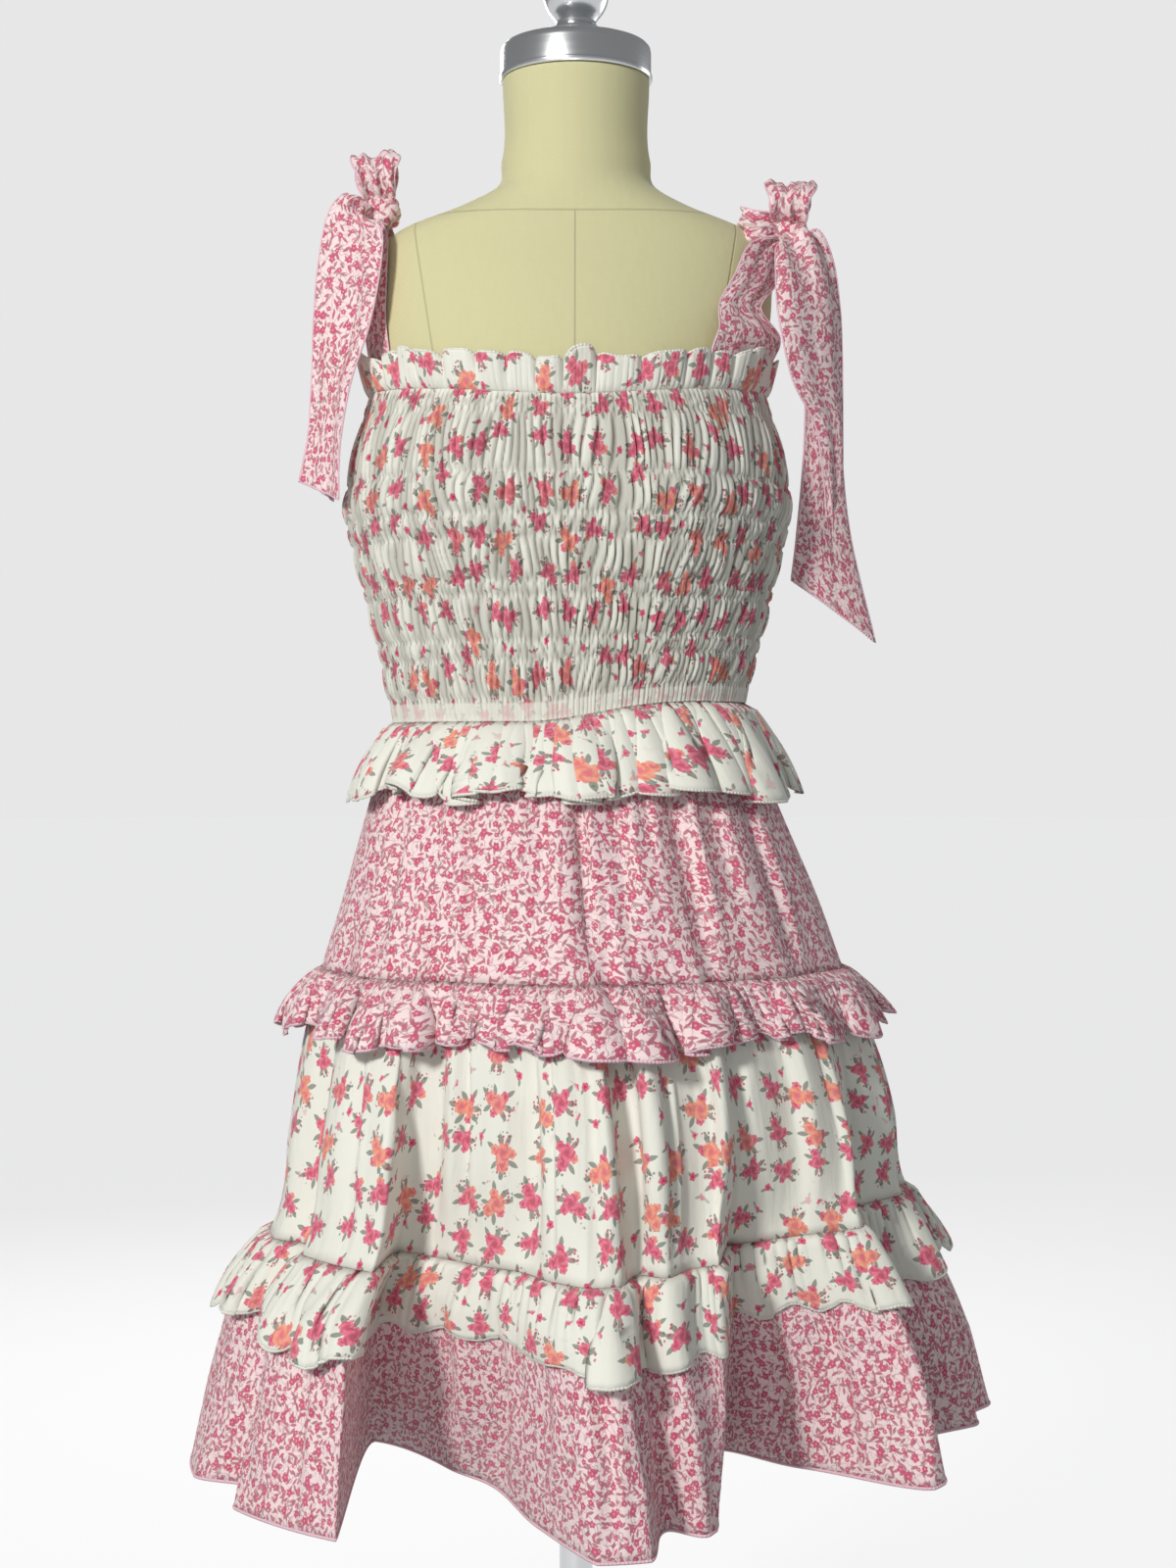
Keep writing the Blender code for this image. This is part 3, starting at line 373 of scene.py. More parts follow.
# The rose print: the leaves and blooms of a bouquet and of a bud, from the motif's middle
Leaf = namedtuple("Leaf", "x y direction length width")
BOUQUET_LEAVES = [
    Leaf(-0.0092, -0.0018, 190.0, 0.0050, 0.0020),
    Leaf(-0.0066, -0.0066, 228.0, 0.0048, 0.0018),
    Leaf(0.0090, -0.0048, 325.0, 0.0048, 0.0018),
    Leaf(0.0124, 0.0056, 28.0, 0.0046, 0.0018),
    Leaf(0.0040, 0.0084, 66.0, 0.0042, 0.0016),
    Leaf(-0.0092, 0.0074, 140.0, 0.0044, 0.0017),
]
BUD_LEAVES = [
    Leaf(0.0042, 0.0012, 20.0, 0.0030, 0.0012),
    Leaf(-0.0036, 0.0024, 150.0, 0.0028, 0.0011),
]
Bloom = namedtuple("Bloom", "x y radius petals turn")
BOUQUET_BLOOMS = [
    Bloom(0.0068, 0.0026, 0.0052, 7.0, 2.1),
    Bloom(-0.0052, 0.0050, 0.0038, 5.0, 0.6),
    Bloom(0.0026, -0.0066, 0.0034, 5.0, 3.1),
    Bloom(-0.0010, -0.0006, 0.0070, 9.0, 1.2),
]
BUD_PITCH = 0.0210
BUD_RADIUS = 0.0031
# No bud grows within this distance of a bouquet's middle
BOUQUET_REACH = 0.0165
BERRY_PITCH = 0.0033
BERRY_RADIUS = 0.00095
STITCH_PITCH = 0.0026
LINEN_PITCH = 0.0009
SEAM_LINE = 0.0006

# How finely each cloth is meshed
BODICE_COLUMNS = 1290
BODICE_ROW_STEP = 0.0055
NEAR_A_ROW = (0.0, 0.0011, 0.0030)
HEADING_COLUMNS = 960
SKIRT_COLUMNS = 840
TIER_ROW_COUNT = 30
RUFFLE_ROW_COUNT = 14
HEM_SIDES = 6
# The skirt's columns are spread by its length round at two heights, measured this finely
SKIRT_SAMPLES = 7200
SKIRT_SAMPLE_HEIGHTS = (0.56, 0.90)
# The narrow end of a turned piece, and the angles from which its edges and the form's are sharp
TIP_RADIUS = 0.00002
TURNED_SHARP = math.radians(35.0)
FORM_SHARP = math.radians(50.0)
FORM_COLUMNS = 128
FORM_ROWS = 120

# The camera's view: its frame in pixels, where it stands, and the pixel row of its horizon
PHOTO_HEIGHT = 1600.0
FOCAL_PIXELS = 2404.0
HORIZON_ROW = 775.0
SENSOR = 36.0
CAMERA_PLACE = (0.009, -1.768, 1.013)

# The studio: lights, a floor that matches the sky it meets, and the sky as seen and as it lights
Light = namedtuple("Light", "name place size power tone")
LIGHTS = [
    Light("key_light", (-1.50, -2.70, 2.10), 0.40, 80.0, (1.0, 0.985, 0.96)),
    Light("front_light", (-0.40, -3.1, 0.6), 0.8, 9.0, (0.97, 0.98, 1.0)),
    Light("right_light", (2.3, 1.8, 1.5), 1.4, 12.0, (0.97, 0.98, 1.0)),
    Light("back_light", (-0.7, 2.8, 2.1), 1.2, 52.0, (1.0, 1.0, 1.0)),
]
LIGHTS_AIM = Vector((0.0, 0.0, 0.95))
FLOOR_REACH = 40.0
FLOOR_STEPS = 64
FLOOR_TONE = 0.20
FLOOR_GLOW = 0.735
SKY_SHOWN = 0.80
SKY_LIGHT = 0.27


def screen_colour(red, green, blue):
    """A colour given as 0 to 255 screen values, in Blender's linear values."""
    def linear(value):
        part = value / 255.0
        return part / 12.92 if part <= 0.04045 else ((part + 0.055) / 1.055) ** 2.4
    return (linear(red), linear(green), linear(blue))


def colour_property(name, description, red, green, blue):
    return bpy.props.FloatVectorProperty(name=name, description=description, subtype="COLOR",
                                         size=3, min=0.0, max=1.0,
                                         default=screen_colour(red, green, blue))


def length_property(name, description, default):
    return bpy.props.FloatProperty(name=name, description=description, default=default,
                                   min=0.0, unit="LENGTH", precision=4)


class SundressSizes(bpy.types.PropertyGroup):
    """Sizes of the dress that a user would change."""
    cloth: length_property("Cloth", "Thickness of the cotton", 0.0007)
    hem_roll: length_property("Rolled hem", "Radius of the narrow rolled hems", 0.0010)
    gather_depth: length_property("Gathers", "Depth of the fine gathers under each seam", 0.0022)
    gather_reach: length_property("Gather reach", "How far the fine gathers run down", 0.040)
    rose_pitch: length_property("Rose pitch", "Distance between the rose bouquets", 0.0330)
    ditsy_pitch: length_property("Ditsy pitch", "Distance between the ditsy flowers", 0.0126)
    weave_pitch: length_property("Weave pitch", "Distance between the cotton's threads", 0.0006)
    fullness: bpy.props.FloatProperty(name="Fullness", default=1.60, min=1.0, max=3.0,
                                      description="Cut width of the smocked cloth to its gathered width")


class SundressColours(bpy.types.PropertyGroup):
    """Colours of the dress and its form."""
    white: colour_property("White ground", "Ground of the rose print", 236, 236, 225)
    rose: colour_property("Rose", "Pink roses", 220, 92, 122)
    rose_deep: colour_property("Rose heart", "The darker heart of a rose", 186, 42, 78)
    rose_pale: colour_property("Rose petal", "The paler petals", 238, 138, 162)
    coral: colour_property("Coral", "Coral roses", 238, 138, 108)
    coral_pale: colour_property("Coral petal", "The paler coral petals", 244, 178, 150)
    leaf: colour_property("Leaf", "Grey-green leaves", 112, 124, 110)
    berry: colour_property("Berry", "Small berries", 196, 60, 92)
    blush: colour_property("Blush ground", "Ground of the ditsy print", 247, 224, 225)
    ditsy: colour_property("Ditsy flower", "Rose-pink ditsy flowers", 208, 94, 124)
    ditsy_leaf: colour_property("Ditsy leaf", "Mauve-pink ditsy leaves", 194, 108, 124)
    ditsy_stem: colour_property("Ditsy stem", "Grey-mauve stems", 160, 116, 122)
    linen: colour_property("Linen", "The form's cover", 212, 208, 163)
    metal: colour_property("Metal", "Cap, knob and pole", 214, 216, 218)
    paint: colour_property("Paint", "The base", 222, 220, 212)


def smooth_between(places, values, at):
    """A smooth curve through values at increasing places, read at any places."""
    places = np.asarray(places, float)
    values = np.asarray(values, float)
    at = np.asarray(at, float)
    slopes = np.gradient(values, places, axis=0)
    index = np.clip(np.searchsorted(places, at) - 1, 0, len(places) - 2)
    span = places[index + 1] - places[index]
    part = np.clip((at - places[index]) / span, 0.0, 1.0)
    if values.ndim > 1:
        span = span[..., None]
        part = part[..., None]
    rest = 1.0 - part
    return (values[index] * (1.0 + 2.0 * part) * rest ** 2 + slopes[index] * span * part * rest ** 2
            + values[index + 1] * part ** 2 * (3.0 - 2.0 * part)
            - slopes[index + 1] * span * part ** 2 * rest)


def round_angles(count):
    """Evenly spaced angles round the body from the centre back."""
    return np.linspace(-math.pi, math.pi, count, endpoint=False)[None, :]


def turn_between(angle, other):
    """The shortest turn from one angle to another."""
    return (angle - other + math.pi) % (FULL_TURN) - math.pi


def plan_point(table, angle, height, out=0.0):
    """Points on a table of sections, moved out from the axis by a distance."""
    rows = sorted(table, key=lambda row: row.height)
    section = smooth_between([row.height for row in rows], rows, height)
    shift, half_width, front, back, bust = (section[..., column] for column in range(1, 6))
    depth = np.where(np.cos(angle) > 0.0, front, back)
    radius = 1.0 / np.sqrt((np.sin(angle) / half_width) ** 2 + (np.cos(angle) / depth) ** 2)
    for side in (-1.0, 1.0):
        away = turn_between(angle, side * BUST_ANGLE) / BUST_SPREAD
        radius = radius + bust * np.exp(-away * away)
    radius = radius + out
    height = np.broadcast_to(height, radius.shape)
    return np.stack([shift + radius * np.sin(angle), -radius * np.cos(angle), height], axis=-1)


def fold_pull(angle, height):
    """How far the hanging folds draw the skirt in, along X and Y."""
    pull = np.zeros(np.broadcast(angle, height).shape + (3,))
    for fold in FOLDS:
        part = np.maximum(0.0, (fold.start - height) / (fold.start - HEM))
        middle = np.radians(fold.top_angle + (fold.hem_angle - fold.top_angle) * part)
        away = turn_between(angle, middle)
        reach = np.radians(np.where(away > 0.0, fold.after, fold.before))
        bell = np.cos(np.clip(np.abs(away) / reach, 0.0, 1.0) * math.pi / 2.0)
        depth = fold.depth * part ** fold.growth * np.maximum(bell, 0.0) ** fold.roundness
        direction = math.radians(fold.hem_angle + fold.turn)
        pull[..., 0] -= math.sin(direction) * depth
        pull[..., 1] += math.cos(direction) * depth
    return pull


def skirt_lift(angle, height):
    """How far the skirt rides up at its right side."""
    part = np.clip((LIFT_START - height) / (LIFT_START - LIFT_FULL), 0.0, 1.0)
    return LIFT * part * np.maximum(0.0, np.sin(angle)) ** 1.5


def skirt_surface(angle, height):
    """Points of the skirt's outer surface at heights of its cut."""
    points = plan_point(SKIRT, angle, height) + fold_pull(angle, height)
    points[..., 2] += skirt_lift(angle, height)
    return points


def moved_out(points, distances):
    """Rings of points moved out square to their own edges, level with the floor."""
    along = np.roll(points, -1, axis=1) - np.roll(points, 1, axis=1)
    normal = np.stack([along[..., 1], -along[..., 0], np.zeros(along.shape[:2])], axis=-1)
    normal /= np.linalg.norm(normal, axis=-1, keepdims=True)
    return points + normal * np.asarray(distances)[..., None]


def ring_lengths(ring):
    """The length along a closed ring up to each point, and once more to its start."""
    steps = np.linalg.norm(np.roll(ring, -1, axis=0) - ring, axis=-1)
    return np.concatenate([[0.0], np.cumsum(steps)])


def skirt_angles(count):
    """Angles from the centre back, evenly spaced along the folded cloth."""
    fine = np.linspace(-math.pi, math.pi, SKIRT_SAMPLES, endpoint=False)
    low, high = (ring_lengths(skirt_surface(fine, np.full(fine.shape, height)))
                 for height in SKIRT_SAMPLE_HEIGHTS)
    lengths = low + high
    wanted = np.linspace(0.0, lengths[-1], count, endpoint=False)
    return np.interp(wanted, lengths, np.append(fine, math.pi))


def uneven_wave(angle, waves, seed):
    """A ruffle's waves, from -1 to 1, with uneven widths and heights."""
    drift = 0.9 * np.sin(2.0 * angle + seed) + 0.7 * np.sin(3.0 * angle + 2.0 * seed)
    swell = 0.75 + 0.25 * np.sin(5.0 * angle + 3.0 * seed)
    return swell * np.sin(waves * angle + drift)


def fine_gathers(along, pitch, seed):
    """Uneven gathers along a seam, from about -1 to 1, with sharp valleys between round crests."""
    phase = along * math.pi / pitch
    phase = phase + 0.28 * np.sin(2.0 * phase)
    phase = phase + 1.3 * np.sin(phase * 0.137 + seed) + 0.9 * np.sin(phase * 0.311 + 2.0 * seed)
    swell = 0.68 + 0.32 * np.sin(phase * 0.43 + seed * 1.7)
    return (2.0 * np.abs(np.sin(phase)) ** 0.8 - 1.0) * swell


def pleats(along, pitch, seed):
    """Smocked pleats from 0 to 1: round crests with narrow deep valleys between them."""
    phase = along * math.pi / pitch
    phase = phase + 1.1 * np.sin(phase * 0.137 + seed) + 0.8 * np.sin(phase * 0.311 + 2.0 * seed)
    phase = phase + 0.22 * np.sin(2.0 * phase)
    crest = 1.0 - (1.0 - np.abs(np.sin(phase))) ** 1.7
    swell = 0.80 + 0.20 * np.sin(phase * 0.43 + seed * 1.7)
    return crest * swell


def hidden_creases(middle, count, spread, upper, lower, depth):
    """Creases for the sides and the back, uneven in place, length, depth and width."""
    made = []
    for index in range(count):
        place = middle + spread * (2.0 * (index + 0.5) / count - 1.0) + 3.0 * math.sin(4.7 * index)
        length = (upper - lower) * (0.72 + 0.28 * math.sin(2.9 * index + 0.6))
        top = upper if index % 3 else lower + length
        made.append(Crease(place, top, top - length if index % 3 else lower,
                           2.0 * math.sin(3.1 * index), depth * (0.8 + 0.35 * math.sin(5.3 * index)),
                           2.6 + 0.9 * math.sin(7.1 * index)))
    return made


def crease_depth(tier, angle, height):
    """How far the creases press the cloth in, at each point."""
    pressed = np.zeros(np.broadcast(angle, height).shape)
    for crease in CREASES + hidden_creases(*HIDDEN_CREASES[tier]):
        down = (crease.upper - height) / (crease.upper - crease.lower)
        inside = (down > 0.0) & (down < 1.0)
        taper = np.sin(np.clip(down, 0.0, 1.0) * math.pi) ** 0.6
        drift = crease.drift - PLUMB[tier] * math.sin(2.0 * math.radians(crease.angle))
        away = np.degrees(turn_between(angle, np.radians(crease.angle + drift * down)))
        away = away / (crease.half_width * np.where(away < 0.0, CREASE_LEAD, CREASE_BACK))
        trough = np.exp(-away ** 2)
        shoulder = 0.35 * np.exp(-(np.abs(away) - 2.0) ** 2)
        pressed += np.where(inside, crease.depth * taper * (trough - shoulder), 0.0)
    return pressed


def tier_surface(tier, angle, height, top, sizes):
    """A tier with its creases and the fine gathers under its seam."""
    points = skirt_surface(angle, height)
    along = ring_lengths(points[0])[:-1]
    below = np.maximum(0.0, top - height)
    seed = {"tier_top": 0.4, "tier_middle": 1.9, "tier_hem": 3.3}[tier]
    gathers = fine_gathers(along, GATHER_PITCH * 1.2, seed) * sizes.gather_depth
    gathers = gathers * np.exp(-(below / sizes.gather_reach) ** 1.3) * np.minimum(1.0, below / 0.004)
    return moved_out(points, gathers - crease_depth(tier, angle, height))


def cloth_mesh(name, points, across, down, closed):
    """A mesh through rows of points, with its place on the flat cloth as its UV map, in metres."""
    rows, columns = points.shape[:2]
    index = np.arange(rows * columns).reshape(rows, columns)
    after = np.roll(index, -1, axis=1) if closed else index[:, 1:]
    index = index if closed else index[:, :-1]
    faces = np.stack([index[1:], after[1:], after[:-1], index[:-1]], axis=-1).reshape(-1, 4)
    mesh = bpy.data.meshes.new(name)
    mesh.from_pydata(points.reshape(-1, 3), [], faces.tolist())
    flat = np.stack([np.broadcast_to(across, (rows, across.shape[-1])),
                     np.broadcast_to(down, (rows, across.shape[-1]))], axis=-1)
    corners = np.stack([flat[1:, :-1], flat[1:, 1:], flat[:-1, 1:], flat[:-1, :-1]], axis=2)
    layer = mesh.uv_layers.new(name="cloth")
    layer.data.foreach_set("uv", corners.reshape(-1).astype(np.float32))
    mesh.shade_smooth()
    return mesh


def add_piece(name, mesh, material, nodes=()):
    """Put a piece in the scene, on its body, for the nodes that it stands for."""
    piece = bpy.data.objects.new(name, mesh)
    bpy.context.scene.collection.objects.link(piece)
    piece.data.materials.append(material)
    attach(piece, BODY_NAME)
    if nodes:
        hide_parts(*nodes)
    return piece


def thicken(piece, thickness, side):
    """Give a sheet its thickness: side 1 outwards, -1 inwards, 0 both ways."""
    wall = piece.modifiers.new("cloth", "SOLIDIFY")
    wall.thickness = thickness
    wall.offset = side
    wall.use_even_offset = False


def round_lengths(points):
    """The length round a tube of cloth at each column, as long in all as its last row."""
    rows = [ring_lengths(row) for row in points]
    return sum(row / row[-1] for row in rows) / len(rows) * rows[-1][-1]


def down_rows(points):
    """The length down the cloth from its first row, the mean of all columns."""
    steps = np.linalg.norm(np.diff(points, axis=0), axis=-1).mean(axis=1)
    return np.concatenate([[0.0], np.cumsum(steps)])[:, None]


def cloth_piece(name, points, across, down, closed, slot, node):
    """A piece of printed cloth through rows of points."""
    mesh = cloth_mesh(name + "_cloth", points, across, down, closed)
    return add_piece(name + "_cloth", mesh, cloth_material(PRINTS[slot][0]), [node])


def gathered_piece(name, points, across, slot, node, side, rests_on, hem_name, hem_row):
    """A gathered tube of cloth with its rolled hem, and the size that it was cut to."""
    down = down_rows(points)
    piece = cloth_piece(name, points, across, down, True, slot, node)
    if side is not None:
        thicken(piece, bpy.context.scene.sundress_sizes.cloth, side)
    hems = [hem_tube(hem_name, points[hem_row], slot, True)] if hem_name else []
    return piece


def hem_tube(name, line, slot, closed, share=1.0):
    """A rolled hem: a thin round tube along an edge, its radius a share of the usual one."""
    radius = bpy.context.scene.sundress_sizes.hem_roll * share
    line = np.asarray(line)
    if closed:
        along = np.roll(line, -1, axis=0) - np.roll(line, 1, axis=0)
    else:
        along = np.gradient(line, axis=0)
    along = along / np.maximum(np.linalg.norm(along, axis=-1, keepdims=True), 1e-9)
    side = np.cross(along, np.array([0.0, 0.0, 1.0]))
    side /= np.maximum(np.linalg.norm(side, axis=-1, keepdims=True), 1e-9)
    up = np.cross(side, along)
    ring = []
    for step in range(HEM_SIDES + 1):
        turn = FULL_TURN * step / HEM_SIDES
        ring.append(line + radius * (side * math.cos(turn) * 0.8 + up * math.sin(turn) * 1.2))
    points = np.stack(ring, axis=0)
    lengths = ring_lengths(line) if closed else ring_lengths(line)[:-1]
    down = np.linspace(0.0, FULL_TURN * radius, HEM_SIDES + 1)[:, None]
    mesh = cloth_mesh(name, points, lengths, down, closed)
    return add_piece(name, mesh, cloth_material(PRINTS[slot][1]))


class Value:
    """A number in a shader. Its operators add Math nodes."""

    def __init__(self, tree, socket):
        self.tree = tree
        self.socket = socket

    def math(self, operation, *others, clamp=False):
        node = self.tree.nodes.new("ShaderNodeMath")
        node.operation = operation
        node.use_clamp = clamp
        for socket, value in zip(node.inputs, others):
            if isinstance(value, Value):
                self.tree.links.new(value.socket, socket)
            else:
                socket.default_value = value
        return Value(self.tree, node.outputs[0])

    def __add__(self, other):
        return self.math("ADD", self, other)

    def __radd__(self, other):
        return self.math("ADD", other, self)

    def __sub__(self, other):
        return self.math("SUBTRACT", self, other)

    def __rsub__(self, other):
        return self.math("SUBTRACT", other, self)

    def __mul__(self, other):
        return self.math("MULTIPLY", self, other)

    def __rmul__(self, other):
        return self.math("MULTIPLY", other, self)

    def __truediv__(self, other):
        return self.math("DIVIDE", self, other)

    def __rtruediv__(self, other):
        return self.math("DIVIDE", other, self)

    def __pow__(self, other):
        return self.math("POWER", self, other)

    def __rpow__(self, other):
        return self.math("POWER", other, self)

    def __neg__(self):
        return self.math("MULTIPLY", self, -1.0)

    def __abs__(self):
        return self.math("ABSOLUTE", self)

    def sine(self):
        return self.math("SINE", self)

    def cosine(self):
        return self.math("COSINE", self)

    def root(self):
        return self.math("SQRT", self)

    def angle_from(self, other):
        return self.math("ARCTAN2", self, other)

    def least(self, other):
        return self.math("MINIMUM", self, other)

    def most(self, other):
        return self.math("MAXIMUM", self, other)

    def clipped(self):
        return self.math("ADD", self, 0.0, clamp=True)

    def below(self, edge, soft):
        """1 where it is under an edge, 0 over it, and smooth between."""
        return ((edge - self) / soft + 0.5).clipped()


class Finish:
    """A material under construction."""

    def __init__(self, name):
        self.material = bpy.data.materials.new(name)
        self.material.use_nodes = True
        self.tree = self.material.node_tree
        self.shader = self.tree.nodes["Principled BSDF"]

    def node(self, kind, settings=None, **inputs):
        """Add a node: its settings first, then its sockets' values or links, by name."""
        node = self.tree.nodes.new(kind)
        for name, value in (settings or {}).items():
            setattr(node, name, value)
        for name, value in inputs.items():
            self.feed(node.inputs[name.replace("_", " ")], value)
        return node

    def feed(self, socket, value):
        if isinstance(value, Value):
            self.tree.links.new(value.socket, socket)
        elif isinstance(value, bpy.types.NodeSocket):
            self.tree.links.new(value, socket)
        else:
            socket.default_value = value

    def number(self, socket):
        return Value(self.tree, socket)

    def set(self, **values):
        """Constants or links of the shader's own sockets."""
        for name, value in values.items():
            self.feed(self.shader.inputs[name.replace("_", " ")], value)

    def mix(self, factor, first, second):
        """From the first colour to the second by a factor."""
        node = self.tree.nodes.new("ShaderNodeMix")
        node.data_type = "RGBA"
        self.feed(node.inputs[0], factor)
        self.feed(node.inputs[6], self.rgba(first))
        self.feed(node.inputs[7], self.rgba(second))
        return node.outputs[2]

    def rgba(self, colour):
        if isinstance(colour, bpy.types.NodeSocket):
            return colour
        return (colour[0], colour[1], colour[2], 1.0)

    def attribute(self, name):
        return self.number(self.node("ShaderNodeAttribute", {"attribute_name": name}).outputs["Fac"])

    def vector_math(self, operation, first, second):
        made = self.node("ShaderNodeVectorMath", {"operation": operation})
        self.feed(made.inputs[0], first)
        self.feed(made.inputs[1], second)
        return made.outputs[0]

    def parts(self, vector):
        """The three numbers of a vector."""
        return [self.number(part) for part in self.node("ShaderNodeSeparateXYZ", Vector=vector).outputs]

    def object_place(self):
        """The place in the piece's own coordinates."""
        return self.node("ShaderNodeTexCoord").outputs["Object"]

    def cloth_place(self):
        """The place on the flat cloth, in metres: the vector, across and down."""
        vector = self.node("ShaderNodeUVMap", {"uv_map": "cloth"}).outputs["UV"]
        across, down, _ = self.parts(vector)
        return vector, across, down

    def tinted(self, colour, tint):
        """A colour darkened by a share for each of its parts."""
        return self.vector_math("MULTIPLY", colour, tint)

    def shifted(self, vector, across, down):
        return self.vector_math("ADD", vector, (across, down, 0.0))

    def scattered(self, vector, pitch, randomness):
        """Scattered motif centres: the place from the nearest one, and three random numbers."""
        cells = self.node("ShaderNodeTexVoronoi", {"voronoi_dimensions": "2D", "feature": "F1"},
                          Vector=vector, Scale=1.0 / pitch, Randomness=randomness)
        x, y, _ = self.parts(self.vector_math("SUBTRACT", vector, cells.outputs["Position"]))
        chance = self.node("ShaderNodeSeparateColor", Color=cells.outputs["Color"])
        return x, y, [self.number(chance.outputs[index]) for index in range(3)]

    def noise(self, vector, scale, detail=2.0, roughness=0.5):
        made = self.node("ShaderNodeTexNoise", {"noise_dimensions": "3D"}, Vector=vector,
                         Scale=scale, Detail=detail, Roughness=roughness)
        return self.number(made.outputs[0])

    def stretched(self, vector, across, down, up=1.0):
        return self.vector_math("MULTIPLY", vector, (across, down, up))

    def bump(self, height, distance, strength=1.0):
        made = self.node("ShaderNodeBump", Height=height, Distance=distance, Strength=strength)
        return made.outputs["Normal"]


def darker(colour, share):
    return tuple(share * value for value in colour)


def turned_place(x, y, turn):
    """A place turned by an angle."""
    cosine = turn.cosine()
    sine = turn.sine()
    return x * cosine - y * sine, x * sine + y * cosine


def leaf_shape(x, y, at_x, at_y, direction, long, wide):
    """1 inside a pointed leaf at a place, lying in a direction."""
    cosine = math.cos(math.radians(direction))
    sine = math.sin(math.radians(direction))
    along = (x - at_x) * cosine + (y - at_y) * sine
    across = (y - at_y) * cosine - (x - at_x) * sine
    return (abs(across) / wide + (along / long) ** 2.0).below(1.0, 0.25)


def all_leaves(x, y, leaves):
    """1 inside any leaf of a table."""
    made = leaf_shape(x, y, *leaves[0])
    for leaf in leaves[1:]:
        made = made.most(leaf_shape(x, y, *leaf))
    return made


def rose_shape(x, y, at_x, at_y, radius, petals, turn):
    """1 inside a scalloped rose, its whorls, and how far out each place is in it."""
    dx = x - at_x
    dy = y - at_y
    reach = (dx * dx + dy * dy).root()
    bearing = dy.angle_from(dx)
    scallop = abs((bearing * (petals / 2.0) + turn).sine())
    edge = radius * (0.80 + 0.22 * scallop)
    inside = (reach / edge).below(1.0, 0.10)
    whorl = (bearing * 3.0 + reach * (8.0 / radius) + turn).sine() * 0.5 + 0.5
    return inside, whorl, reach / edge


def cotton_relief(finish, vector, across, down, pitch):
    """The weave's bump and its faint slubs."""
    threads = (across * (FULL_TURN / pitch)).sine() * (down * (FULL_TURN / pitch)).sine()
    crumple = finish.noise(finish.stretched(vector, 1.0, 0.45), 80.0, 4.0, 0.60)
    falls = finish.noise(finish.stretched(vector, 95.0, 17.0), 1.0, 2.0, 0.5)
    height = threads * 0.06 + crumple + falls * 1.7
    finish.set(Normal=finish.bump(height, 0.0022, 0.5))
    return finish.noise(finish.stretched(vector, 40.0, 900.0), 1.0, 2.0, 0.6)


def printed_base(finish, sheen):
    finish.set(Roughness=0.88, Sheen_Weight=sheen, Sheen_Roughness=0.45, Specular_IOR_Level=0.25)


